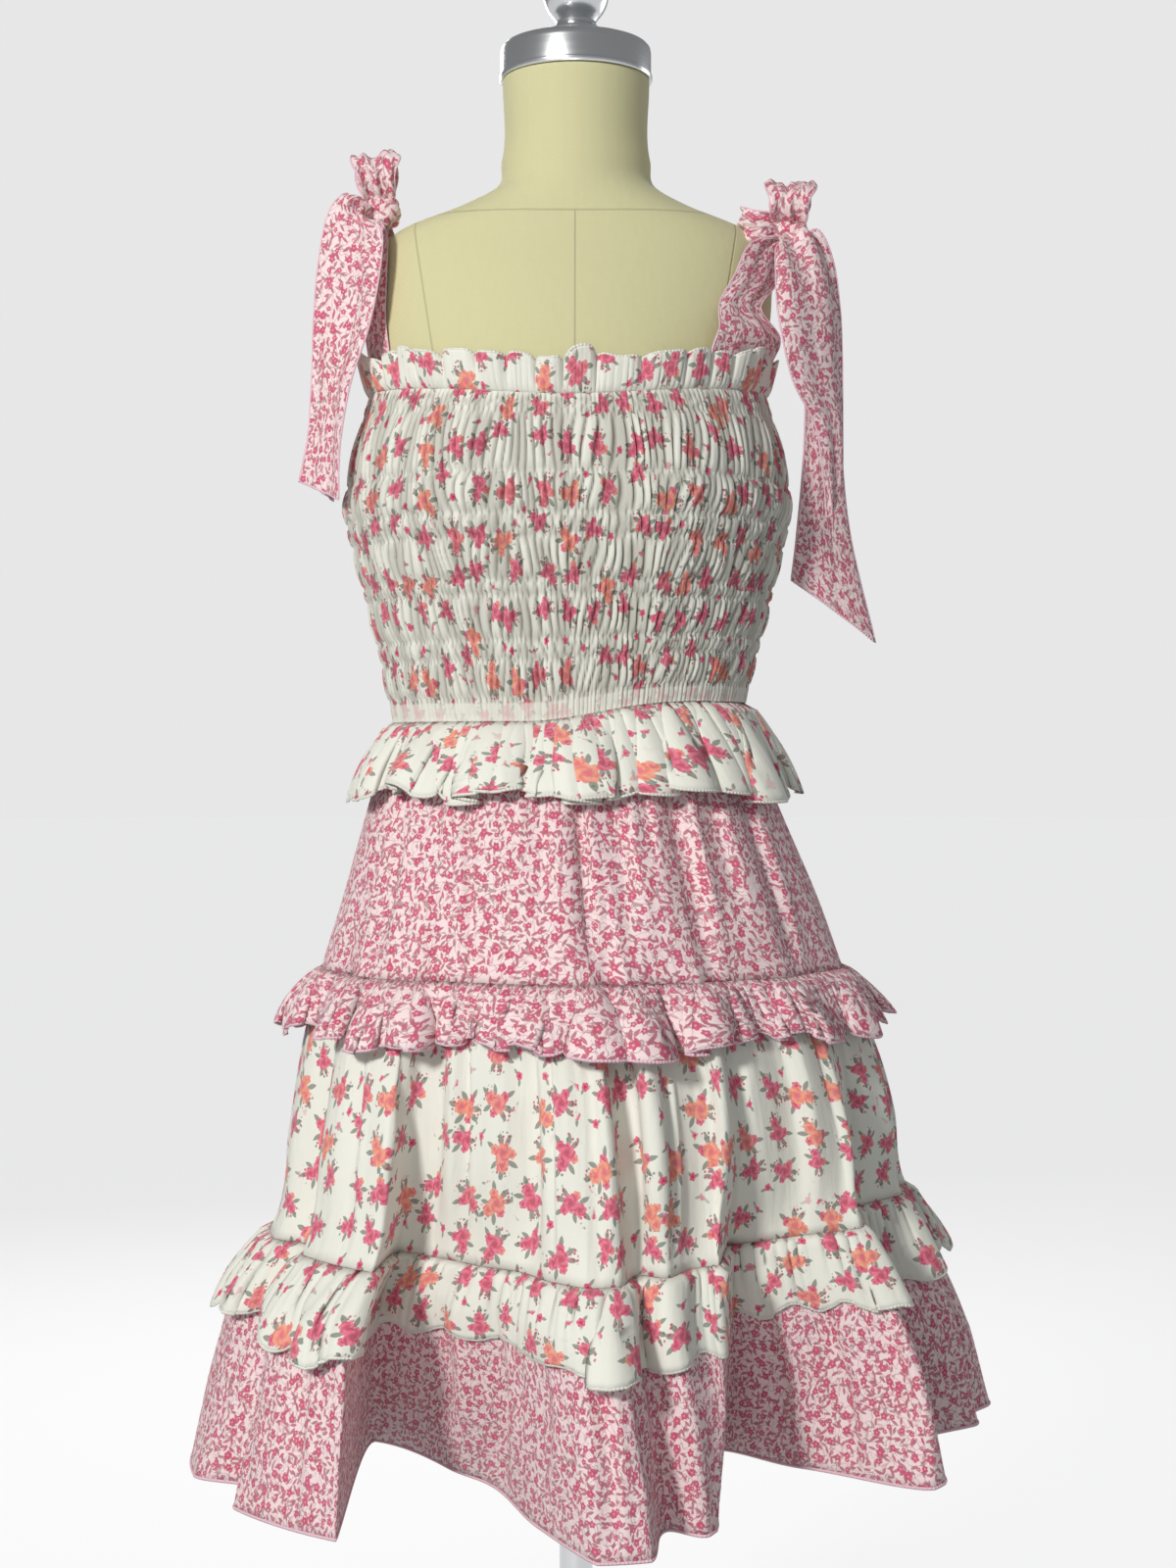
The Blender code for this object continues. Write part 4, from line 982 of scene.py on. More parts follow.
def rose_cotton(name, sizes, colours):
    """White cotton with scattered bouquets of pink and coral roses, leaves and berries."""
    finish = Finish(name)
    vector, across, down = finish.cloth_place()
    slub = cotton_relief(finish, vector, across, down, sizes.weave_pitch)
    ground = finish.mix(slub * 0.16, colours.white, darker(colours.white, 0.86))

    x, y, chance = finish.scattered(vector, sizes.rose_pitch, 0.66)
    reach = (x * x + y * y).root()
    x, y = turned_place(x, y, chance[0] * (FULL_TURN))
    size = 0.80 + 0.28 * chance[1]
    x = x / size
    y = y / size

    bud_x, bud_y, bud_chance = finish.scattered(finish.shifted(vector, 0.013, 0.007), BUD_PITCH, 0.8)
    bud_x, bud_y = turned_place(bud_x, bud_y, bud_chance[0] * (FULL_TURN))
    clear = (1.0 - reach.below(BOUQUET_REACH, 0.002)) * (bud_chance[1] * 8.0 - 2.0).clipped()
    bud_leaf = all_leaves(bud_x, bud_y, BUD_LEAVES)
    bud, bud_whorl, bud_out = rose_shape(bud_x, bud_y, 0.0, 0.0, BUD_RADIUS, 5.0,
                                         bud_chance[2] * 6.0)
    colour = finish.mix(bud_leaf * clear * 0.75, ground, colours.leaf)
    bud_colour = finish.mix(bud_whorl * 0.7, colours.rose, colours.rose_pale)
    bud_colour = finish.mix(bud_out.below(0.4, 0.3) * 0.8, bud_colour, colours.rose_deep)
    colour = finish.mix(bud * clear, colour, bud_colour)

    leaves = all_leaves(x, y, BOUQUET_LEAVES)
    veins = finish.noise(vector, 520.0, 2.0)
    leaf_colour = finish.mix(veins, colours.leaf, darker(colours.leaf, 0.50))
    colour = finish.mix(leaves * 0.74, colour, leaf_colour)

    dot_x, dot_y, dot_chance = finish.scattered(vector, BERRY_PITCH, 0.6)
    dot = (dot_x * dot_x + dot_y * dot_y).root().below(BERRY_RADIUS, 0.0004)
    bearing = y.angle_from(x)
    around = (x * x + y * y).root()
    band = around.below(0.0150, 0.001) * (1.0 - around.below(0.0092, 0.001))
    sector = ((bearing * 2.0 + 0.7).sine() - 0.45) * 4.0
    dot_colour = finish.mix(dot_chance[0].below(0.35, 0.1), colours.berry, colours.leaf)
    colour = finish.mix(dot * band * sector.clipped() * 0.85, colour, dot_colour)

    mottle = (finish.noise(vector, 560.0, 2.0) * 2.4 - 0.9).clipped() * 0.75
    for number, bloom in enumerate(BOUQUET_BLOOMS):
        inside, whorl, out = rose_shape(x, y, *bloom[:4], chance[2] * 5.0 + bloom.turn)
        is_coral = (chance[(number + 1) % 3] * 9.0 - 5.8).clipped()
        middle = finish.mix(is_coral, colours.rose, colours.coral)
        dark = finish.mix(is_coral, colours.rose_deep, colours.rose)
        pale = finish.mix(is_coral, colours.rose_pale, colours.coral_pale)
        petal = finish.mix(whorl * 0.85 * (out * 1.6 - 0.55).clipped(), middle, pale)
        petal = finish.mix(mottle, petal, pale)
        petal = finish.mix(((1.0 - whorl) * 1.4 - 0.75).clipped() * 0.70, petal, dark)
        petal = finish.mix(out.below(0.36, 0.30) * 0.80, petal, dark)
        colour = finish.mix(inside * 0.92, colour, petal)
    drawn = finish.attribute("drawn_in")
    colour = finish.mix(drawn * 0.88, colour, darker(colours.white, 0.93))
    # Painted shade: the colour is darkened in the gathers' valleys by how deep they lie, except on the
    # waist casing
    valley_shade = finish.attribute("valley_shade") * (1.0 - drawn)
    colour = finish.mix(valley_shade * 0.95, colour, finish.tinted(colour, VALLEY_SHADE))
    finish.set(Base_Color=colour)
    printed_base(finish, 0.15)
    return finish.material


def ditsy_cotton(name, sizes, colours):
    """Blush cotton with a dense print of small rose-pink flowers, leaf slivers and fine stems."""
    finish = Finish(name)
    vector, across, down = finish.cloth_place()
    slub = cotton_relief(finish, vector, across, down, sizes.weave_pitch)
    colour = finish.mix(slub * 0.16, colours.blush, darker(colours.blush, 0.86))

    pitch = sizes.ditsy_pitch
    wander = finish.noise(vector, 1.08 / pitch, 1.0)
    stem = abs(wander - 0.5).below(0.0085, 0.006)
    second = finish.noise(finish.shifted(vector, 3.1, 1.7), 1.22 / pitch, 1.0)
    second = abs(second - 0.5).below(0.008, 0.006)
    colour = finish.mix(stem.most(second) * 0.70, colour, colours.ditsy_stem)

    for shift, share, tone in ((0.00, 0.50, colours.ditsy_leaf), (0.37, 0.56, colours.ditsy_leaf),
                               (0.71, 0.62, colours.ditsy)):
        x, y, chance = finish.scattered(finish.shifted(vector, shift, shift * 0.6), pitch * share, 0.9)
        x, y = turned_place(x, y, chance[0] * (FULL_TURN))
        sliver = leaf_shape(x, y, 0.0, 0.0, 0.0, 0.26 * pitch, 0.088 * pitch)
        kept = (chance[1] * 8.0 - 2.2).clipped()
        leaf = finish.mix(chance[2] * 0.6, tone, colours.ditsy_stem)
        colour = finish.mix(sliver * kept * 0.88, colour, leaf)

    for shift, scale, radius in ((0.53, 1.10, 0.17 * pitch), (0.0, 1.0, 0.27 * pitch)):
        x, y, chance = finish.scattered(finish.shifted(vector, shift, shift), pitch * scale, 0.8)
        reach = (x * x + y * y).root()
        bearing = y.angle_from(x)
        petals = abs((bearing * 2.5 + chance[0] * 6.28).cosine())
        edge = radius * (0.66 + 0.30 * petals) * (0.66 + 0.44 * chance[1])
        flower = (reach / edge).below(1.0, 0.16)
        tone = finish.mix(chance[2] * 0.30, colours.ditsy, colours.rose_deep)
        colour = finish.mix(flower * 0.95, colour, tone)
        heart = reach.below(0.055 * pitch, 0.034 * pitch) * 0.45
        colour = finish.mix(heart, colour, colours.blush)
    finish.set(Base_Color=colour)
    printed_base(finish, 0.15)
    return finish.material


def hem_cotton(name, colour):
    """The rolled edge of a printed cotton, where little of the print shows."""
    finish = Finish(name)
    vector, across, _ = finish.cloth_place()
    tone = finish.noise(finish.stretched(vector, 260.0, 900.0), 1.0, 2.0)
    finish.set(Base_Color=finish.mix(tone * 0.5, colour, darker(colour, 0.72)))
    stitches = (across * (FULL_TURN / STITCH_PITCH)).sine()
    finish.set(Normal=finish.bump(stitches + tone, 0.0004, 0.5))
    printed_base(finish, 0.1)
    return finish.material


def linen_seams(finish, place):
    """1 on the cover's seams: centre front and back, the princess lines and the neck."""
    x, y, z = finish.parts(place)
    shoulder = ((z - 1.20) / 0.20).clipped()
    princess = abs(abs(x) - 0.085 - shoulder * 0.033)
    lines = abs(x).least(princess).below(SEAM_LINE, 0.0005) * z.below(1.4115, 0.001)
    forward = -y / (x * x + y * y).root()
    neck = abs(z - 1.4165 + forward * 0.006).below(SEAM_LINE, 0.0005)
    return lines.most(neck)


def linen_finish(colours):
    """The form's linen cover: an even, slightly slubbed weave."""
    finish = Finish("form linen")
    place = finish.object_place()
    slub = finish.noise(finish.stretched(place, 240.0, 240.0), 1.0, 3.0, 0.6)
    _, _, rows = finish.parts(place)
    threads = (rows * (FULL_TURN / LINEN_PITCH)).sine()
    wide = finish.noise(place, 5.0, 2.0)
    linen = colours.linen
    colour = finish.mix(slub * 0.28, linen, darker(linen, 0.80))
    colour = finish.mix(wide * 0.20, colour, darker(linen, 0.90))
    seam = linen_seams(finish, place)
    colour = finish.mix(seam * 0.45, colour, darker(linen, 0.48))
    finish.set(Base_Color=colour)
    finish.set(Normal=finish.bump(slub + threads * 0.3 - seam * 2.5, 0.0006, 0.45))
    finish.set(Roughness=0.9, Sheen_Weight=0.15, Sheen_Roughness=0.5, Specular_IOR_Level=0.25)
    return finish.material


def metal_finish(name, colours, roughness, brushed):
    """Bright metal with faint turning lines and smudges."""
    finish = Finish(name)
    place = finish.object_place()
    lines = finish.noise(finish.stretched(place, 6.0, 6.0, brushed), 1.0, 3.0, 0.7)
    smudge = finish.noise(place, 38.0, 3.0)
    metal = colours.metal
    finish.set(Base_Color=finish.mix(lines * 0.25, metal, darker(metal, 0.72)))
    finish.set(Metallic=1.0, Roughness=roughness + lines * 0.10 + smudge * 0.08)
    finish.set(Normal=finish.bump(lines, 0.0002, 0.15))
    return finish.material


def paint_finish(colours):
    """Satin paint with a faint orange peel."""
    finish = Finish("base paint")
    place = finish.object_place()
    peel = finish.noise(place, 420.0, 2.0)
    worn = finish.noise(place, 9.0, 4.0, 0.65)
    paint = colours.paint
    finish.set(Base_Color=finish.mix(worn * 0.25, paint, darker(paint, 0.84)))
    finish.set(Roughness=0.38 + worn * 0.16, Normal=finish.bump(peel, 0.0002, 0.25))
    return finish.material


def cloth_material(kind):
    """Each finish is made once and shared by the pieces of its cloth."""
    sizes = bpy.context.scene.sundress_sizes
    colours = bpy.context.scene.sundress_colours
    found = bpy.data.materials.get(kind)
    if found:
        return found
    if kind == "rose cotton":
        return rose_cotton(kind, sizes, colours)
    if kind == "ditsy cotton":
        return ditsy_cotton(kind, sizes, colours)
    if kind == "rose hem":
        return hem_cotton(kind, colours.white)
    if kind == "ditsy hem":
        return hem_cotton(kind, screen_colour(238, 200, 212))
    raise ValueError("no finish is called " + kind)


PRINTS = {
    "rose_cotton": ("rose cotton", "rose hem"),
    "ditsy_cotton": ("ditsy cotton", "ditsy hem"),
}


def turned_mesh(name, profile):
    """A piece turned about the Z axis from an outline that runs from the top down."""
    angles = np.linspace(0.0, FULL_TURN, TURNED_STEPS, endpoint=False)
    outline = [(max(radius, TIP_RADIUS), height) for radius, height in profile]
    rings = [np.stack([radius * np.sin(angles), -radius * np.cos(angles),
                       np.full(angles.shape, height)], axis=-1) for radius, height in outline]
    points = np.stack(rings, axis=0)
    across = np.linspace(0.0, 1.0, TURNED_STEPS + 1)
    mesh = cloth_mesh(name, points, across, np.linspace(0.0, 1.0, len(outline))[:, None], True)
    mesh.set_sharp_from_angle(angle=TURNED_SHARP)
    return mesh


def knob_profile():
    """A ball on a short collar, from the top down."""
    profile = [(0.0, KNOB_CENTRE + KNOB_RADIUS)]
    for step in range(1, 29):
        turn = math.radians(136.0 * step / 28.0)
        profile.append((KNOB_RADIUS * math.sin(turn), KNOB_CENTRE + KNOB_RADIUS * math.cos(turn)))
    neck = KNOB_COLLAR * 0.80
    for height, radius in ((1.5640, neck * 0.98), (1.5615, neck), (1.5590, KNOB_COLLAR * 0.96),
                           (1.5575, KNOB_COLLAR), (KNOB_FOOT + 0.0008, KNOB_COLLAR),
                           (KNOB_FOOT, KNOB_COLLAR * 0.97), (KNOB_FOOT, 0.0)):
        profile.append((radius, height))
    return profile


class SUNDRESS_OT_form(bpy.types.Operator):
    """Make the linen form with its seams."""
    bl_idname = "sundress.form"
    bl_label = "Dress form"

    def execute(self, context):
        colours = context.scene.sundress_colours
        heights = np.concatenate([np.linspace(FORM_TOP, FORM_SHOULDER, FORM_ROWS // 2, endpoint=False),
                                  np.linspace(FORM_SHOULDER, FORM_FOOT, FORM_ROWS // 2)])[:, None]
        angles = round_angles(FORM_COLUMNS)
        points = plan_point(BODY, angles, heights)
        closing = points[:1] * np.array([0.0, 0.0, 1.0])
        floor = points[-1:] * np.array([0.0, 0.0, 1.0])
        floor[..., 0] = BODY[0].shift
        points = np.concatenate([closing, points, floor], axis=0)
        across = np.linspace(0.0, 1.0, FORM_COLUMNS + 1)
        mesh = cloth_mesh("form_cover", points, across,
                          np.linspace(0.0, 1.0, len(points))[:, None], True)
        mesh.set_sharp_from_angle(angle=FORM_SHARP)
        piece = add_piece("form_cover", mesh, linen_finish(colours), ["form_body"])
        return {"FINISHED"}


class SUNDRESS_OT_stand(bpy.types.Operator):
    """Make the metal cap and knob, and the pole on its round base."""
    bl_idname = "sundress.stand"
    bl_label = "Cap, knob and stand"

    def execute(self, context):
        colours = context.scene.sundress_colours
        bright = metal_finish("neck metal", colours, 0.16, 900.0)
        pole_bright = metal_finish("pole metal", colours, 0.14, 6.0)
        paint = paint_finish(colours)
        pole = [(0.0, POLE_TOP), (POLE_RADIUS, POLE_TOP), (POLE_RADIUS, POLE_FOOT), (0.0, POLE_FOOT)]
        for name, node, profile, material, slot in (
                ("cap_of_neck", "neck_cap", NECK_CAP, bright, "neck_metal"),
                ("ball_knob", "knob", knob_profile(), bright, "neck_metal"),
                ("stand_pole", "pole", pole, pole_bright, "pole_metal"),
                ("stand_flange", "pole_flange", FLANGE, paint, "base_paint"),
                ("stand_base", "base_plate", BASE, paint, "base_paint")):
            add_piece(name, turned_mesh(name, profile), material, [node])
        return {"FINISHED"}


def bodice_height(angle, height):
    """The bodice's top rises towards the sides, and its waist to the right."""
    part = np.maximum(0.0, (height - BODICE_RISE_START) / (BODICE_TOP - BODICE_RISE_START))
    near_waist = np.clip(1.0 - (height - WAIST) / WAIST_RISE_REACH, 0.0, 1.0)
    return height + BODICE_TOP_RISE * part * np.sin(angle) ** 2 + waist_rise(angle) * near_waist


def waist_rise(angle):
    """How far the waist seam lies above its level, most at the right side."""
    part = np.clip((np.sin(angle) + 0.30) / 1.15, 0.0, 1.0)
    return WAIST_RISE * part * part * (3.0 - 2.0 * part)


def bodice_lengths(angles):
    """The length round the bodice at mid height, which its gathers are counted along."""
    return ring_lengths(plan_point(BODY, angles, np.full(angles.shape, BODICE_MIDDLE))[0])


def bodice_heights():
    """Heights of the bodice's mesh rows, close together near each elastic row."""
    made = {BODICE_TOP, BODY_WAIST}
    for low, high in zip(ELASTICS, ELASTICS[1:]):
        span = high.height - low.height
        near = [step for step in NEAR_A_ROW if step < span / 2.0]
        made.update(low.height + step for step in near)
        made.update(high.height - step for step in near)
        free = span - 2.0 * near[-1]
        count = int(free / BODICE_ROW_STEP)
        made.update(low.height + near[-1] + free * step / (count + 1) for step in range(1, count + 1))
    return np.array(sorted(made, reverse=True))[:, None]


def bodice_puff(along, height):
    """How far the smocked cloth stands out in round puffs between the rows, and how near each place is
    to a pleat's crest.
    """
    turn = np.sin(FULL_TURN * (along / along.max() - 0.5))
    lean = np.where(turn > 0.0, LEAN_RIGHT, LEAN_LEFT) * turn
    puff = np.zeros(np.broadcast(along, height).shape)
    beyond = (height < ELASTICS[0].height) | (height >= ELASTICS[-1].height)
    crest = np.where(beyond, 1.0, np.zeros(puff.shape))
    for number, (low, high) in enumerate(zip(ELASTICS, ELASTICS[1:])):
        part = np.clip((height - low.height - ROW_HALF) / (high.height - low.height - 2.0 * ROW_HALF),
                       0.0, 1.0)
        inside = (height >= low.height) & (height < high.height)
        belly = np.sin(part * math.pi) ** 0.42
        place = along + lean * part + 0.0030 * np.sin(along / 0.023 + 2.0 * number)
        place = place + GATHER_PITCH * 0.21 * number + 0.0018 * np.sin(along / 0.011 + 3.0 * part)
        folds = pleats(place, GATHER_PITCH, 0.45 * number)
        puff += np.where(inside, low.puff * belly * folds, 0.0)
        crest += np.where(inside, folds, 0.0)
    return puff, crest


def bodice_pucker(along, height):
    """Small puckers that the elastic rows draw up, strongest on the rows."""
    near = np.zeros(np.broadcast(along, height).shape)
    for row in ELASTICS:
        near = np.maximum(near, row.hold * np.exp(-((height - row.height) / PUCKER_REACH) ** 2))
    casing = (height < ELASTICS[1].height) & (height > ELASTICS[0].height)
    near = np.where(casing, np.maximum(near, 0.8), near)
    return near, pleats(along, PUCKER_PITCH, 0.8)


class SUNDRESS_OT_bodice(bpy.types.Operator):
    """Make the smocked bodice."""
    bl_idname = "sundress.bodice"
    bl_label = "Smocked bodice"

    def execute(self, context):
        fullness = context.scene.sundress_sizes.fullness
        angles = round_angles(BODICE_COLUMNS)
        heights = bodice_heights()
        along = bodice_lengths(angles)
        near, pucker = bodice_pucker(along[None, :-1], heights)
        puff, crest = bodice_puff(along[None, :-1], heights)
        out = puff + pucker * PUCKER_DEPTH * near + SURFACE_OFF_FORM
        points = plan_point(BODY, angles, bodice_height(angles, heights), out)
        piece = gathered_piece("bodice", points, along * fullness, "rose_cotton", "bodice", None,
                               "form_cover", None, 0)
        # drawn_in marks the waist casing, where the print does not show; the second attribute is painted
        # shade, how deep each place lies in the gathers' valleys
        for name, values in (
                ("drawn_in", np.broadcast_to(near, points.shape[:2]) * (heights < CASING_TOP)),
                ("valley_shade", np.clip(1.0 - crest + (crest - pucker) * near, 0.0, 1.0) ** 1.1)):
            layer = piece.data.attributes.new(name, "FLOAT", "POINT")
            layer.data.foreach_set("value", values.reshape(-1).astype(np.float32))
        return {"FINISHED"}


class SUNDRESS_OT_heading(bpy.types.Operator):
    """Make the free ruffled edge above the bodice's first elastic row."""
    bl_idname = "sundress.heading"
    bl_label = "Heading ruffle"

    def execute(self, context):
        angles = round_angles(HEADING_COLUMNS)
        step = np.linspace(1.0, 0.0, RUFFLE_ROW_COUNT)[:, None]
        foot = bodice_height(angles, np.full(angles.shape, BODICE_TOP))
        wave = HEADING_WAVE * uneven_wave(angles, HEADING_WAVES, 1.0)
        along = bodice_lengths(angles)[:-1]
        puckers = pleats(along, PUCKER_PITCH, 0.8) * PUCKER_DEPTH * np.minimum(1.0, 0.17 + step * 6.0)
        lobes = pleats(along, HEADING_LOBE, 1.1)
        out = (SURFACE_OFF_FORM + HEADING_FLARE * step ** 0.75 + wave * step
               + puckers * (1.0 - 0.70 * step) + HEADING_LOBE_DEPTH * lobes * step ** 0.7
               - HEADING_TUCK * (1.0 - step) ** 8)
        change = HEADING_RISE_CHANGE * uneven_wave(angles, HEADING_WAVES, 2.0)
        change = change + 0.20 * (lobes - 0.75) + 0.10 * uneven_wave(angles, 17, 2.6)
        rise = HEADING_HEIGHT * step * (1.0 + change)
        points = plan_point(BODY, angles, foot, out)
        points[..., 2] += rise - HEADING_TUCK
        across = round_lengths(points[::-1]) * HEADING_FULLNESS
        gathered_piece("heading", points, across, "rose_cotton", "ruffle_heading", 1.0,
                       "bodice_cloth", "heading_edge", 0)
        return {"FINISHED"}


TIERS = {
    "tier_top": ("skirt_tier_top", WAIST, SEAM_MIDDLE + SEAM_GAP, "ditsy_cotton"),
    "tier_middle": ("skirt_tier_middle", SEAM_MIDDLE, SEAM_LOWER + SEAM_GAP, "rose_cotton"),
    "tier_hem": ("skirt_tier_hem", SEAM_LOWER, HEM, "ditsy_cotton"),
}


class SUNDRESS_OT_skirt(bpy.types.Operator):
    """Make the three gathered tiers and the rolled hem."""
    bl_idname = "sundress.skirt"
    bl_label = "Skirt tiers"

    def execute(self, context):
        sizes = context.scene.sundress_sizes
        angles = skirt_angles(SKIRT_COLUMNS)[None, :]
        for tier, (node, top, foot, slot) in TIERS.items():
            part = np.linspace(0.0, 1.0, TIER_ROW_COUNT)[:, None] ** 1.15
            heights = top + (foot - top) * part
            points = tier_surface(tier, angles, heights, top, sizes)
            gathered_piece(tier, points, round_lengths(points), slot, node, -1.0, "form_cover",
                           "skirt_hem" if tier == "tier_hem" else None, -1)
        return {"FINISHED"}


class SUNDRESS_OT_ruffles(bpy.types.Operator):
    """Make the three gathered ruffles over the tiers."""
    bl_idname = "sundress.ruffles"
    bl_label = "Ruffles"

    def execute(self, context):
        sizes = context.scene.sundress_sizes
        angles = skirt_angles(SKIRT_COLUMNS)[None, :]
        for name, ruffle in RUFFLES.items():
            top, edge = ruffle.heights
            step = np.linspace(0.0, 1.0, RUFFLE_ROW_COUNT)[:, None]
            seed = ruffle.seed
            fall = ruffle.edge_change * uneven_wave(angles, EDGE_WAVES, seed + 1.0) * step ** 3
            fall = fall + FLUTE_RISE * uneven_wave(angles, ruffle.flutes, seed + 1.9) * step ** 2
            heights = top + (edge - top) * step - fall
            base = tier_surface(ruffle.base, angles, heights, top, sizes)
            if name == "ruffle_waist":
                base[..., 2] += waist_rise(angles) * (1.0 - step)
            wave = ruffle.wave_depth * uneven_wave(angles, ruffle.waves, seed + 2.0)
            wave = wave + ruffle.flute_depth * uneven_wave(angles, ruffle.flutes, seed + 0.7) * step
            pull = np.linalg.norm(fold_pull(angles, heights), axis=-1)
            room = 1.0 / (1.0 + (pull / RUFFLE_IN_FOLD) ** 2)
            spring = 1.0 - (1.0 - step) ** RUFFLE_SPRING
            along = ring_lengths(base[0])
            gathers = RUFFLE_GATHER_DEPTH * pleats(along[:-1], RUFFLE_GATHER_PITCH, seed + 0.3)
            gathers = gathers * np.exp(-((top - heights) / RUFFLE_GATHER_REACH) ** 1.2)
            out = RUFFLE_STAND_OFF + RUFFLE_FOLD_GAP * pull + gathers
            out = RUFFLE_SEAM + out * np.minimum(1.0, (top - heights) / RUFFLE_TUCK)
            points = moved_out(base, out + (ruffle.flare + wave) * spring * room)
            gathered_piece(name, points, round_lengths(points), ruffle.slot, name, 1.0,
                           ruffle.base + "_cloth", name + "_edge", -1)
        return {"FINISHED"}


def knot_row(knot, outer, inner):
    """The narrow start of a ribbon at its knot, pointing to the row that follows."""
    middle = (outer + inner) / 2.0
    direction = (middle - knot).normalized()
    side = outer - inner
    side = (side - direction * side.dot(direction)).normalized()
    start = knot + direction * KNOT_RADIUS * 0.92
    return start + side * TIE_START_WIDTH / 2.0, start - side * TIE_START_WIDTH / 2.0


def grid_normals(points):
    """The direction square to an open grid of points at each point."""
    along = np.gradient(points, axis=0)
    across = np.gradient(points, axis=1)
    normal = np.cross(across, along)
    return normal / np.maximum(np.linalg.norm(normal, axis=-1, keepdims=True), 1e-9)


def crumpled(points, depth, folds, seed):
    """Long folds that run from a knot and fade, with small crumples between them."""
    rows, columns = points.shape[:2]
    part = np.linspace(0.0, 1.0, rows)[:, None]
    side = np.linspace(0.0, 1.0, columns)[None, :]
    fade = np.exp(-part * 3.2) + 0.22
    long_folds = np.sin(folds * math.pi * side + 0.9 * np.sin(4.0 * part + seed) + seed)
    small = 0.35 * np.sin(2.7 * folds * side + 11.0 * part + 2.0 * seed)
    small = small + 0.3 * np.sin(19.0 * part + 5.0 * side + seed)
    swell = np.minimum(1.0, part / 0.03)
    return points + grid_normals(points) * (depth * swell * fade * (long_folds + small))[..., None]


def cut_area(areas, flat):
    """The area of a cut: the sum of its cells, held between LEAST_CUT and all of its rectangle."""
    rectangle = flat[0] * flat[1]
    return min(max(float(areas.sum()), LEAST_CUT * rectangle), rectangle)


def lay_ribbon(name, lines, depth, folds, seed, rows=110, columns=26):
    """A strip of ditsy cotton through lines of points, with rolled edges."""
    places = np.linspace(0.0, 1.0, len(lines))
    widths = np.linspace(0.0, 1.0, len(lines[0]))
    coarse = smooth_between(places, np.array(lines).reshape(len(lines), -1),
                            np.linspace(0.0, 1.0, rows)).reshape(rows, len(lines[0]), 3)
    points = smooth_between(widths, np.swapaxes(coarse, 0, 1).reshape(len(lines[0]), -1),
                            np.linspace(0.0, 1.0, columns)).reshape(columns, rows, 3)
    points = crumpled(np.swapaxes(points, 0, 1), depth, folds, seed)
    width = float(np.linalg.norm(np.diff(points, axis=1), axis=-1).sum(axis=1).max())
    across = np.linspace(0.0, width, columns)
    down = down_rows(points)
    piece = cloth_piece(name, points, across + 0.03 * seed, down + 0.05 * seed, False,
                        "ditsy_cotton", name)
    thicken(piece, bpy.context.scene.sundress_sizes.cloth, 0.0)
    outline = np.concatenate([points[:, 0], points[-1, 1:], points[-2::-1, -1]])
    hem = hem_tube(name + "_edge", outline, "ditsy_cotton", False, RIBBON_HEM)
    areas = np.linalg.norm(np.cross(np.diff(points, axis=0)[:, :-1], np.diff(points, axis=1)[:-1]),
                           axis=-1)
    flat = (width, float(down[-1, 0]))
    cut_area(areas, flat)


class SUNDRESS_OT_straps(bpy.types.Operator):
    """Make the four ties from the bodice up to the knots."""
    bl_idname = "sundress.straps"
    bl_label = "Shoulder ties"

    def execute(self, context):
        for number, (name, (knot, strap_rows)) in enumerate(STRAPS.items()):
            lines = []
            for row in strap_rows:
                angles = np.radians(np.linspace(row.edge_a, row.edge_b, 7))
                height = np.full(angles.shape, row.height)
                if row.height == ON_RIM:
                    height = bodice_height(angles, np.full(angles.shape, BODICE_TOP))
                lines.append(plan_point(BODY, angles, height, row.stand_off + 0.0008))
            edge_a, edge_b = knot_row(knot, Vector(lines[0][0]), Vector(lines[0][-1]))
            start = np.linspace(edge_a, edge_b, 7)
            lay_ribbon(name, [start] + lines, 0.0012, 5, number + 0.4)
        return {"FINISHED"}


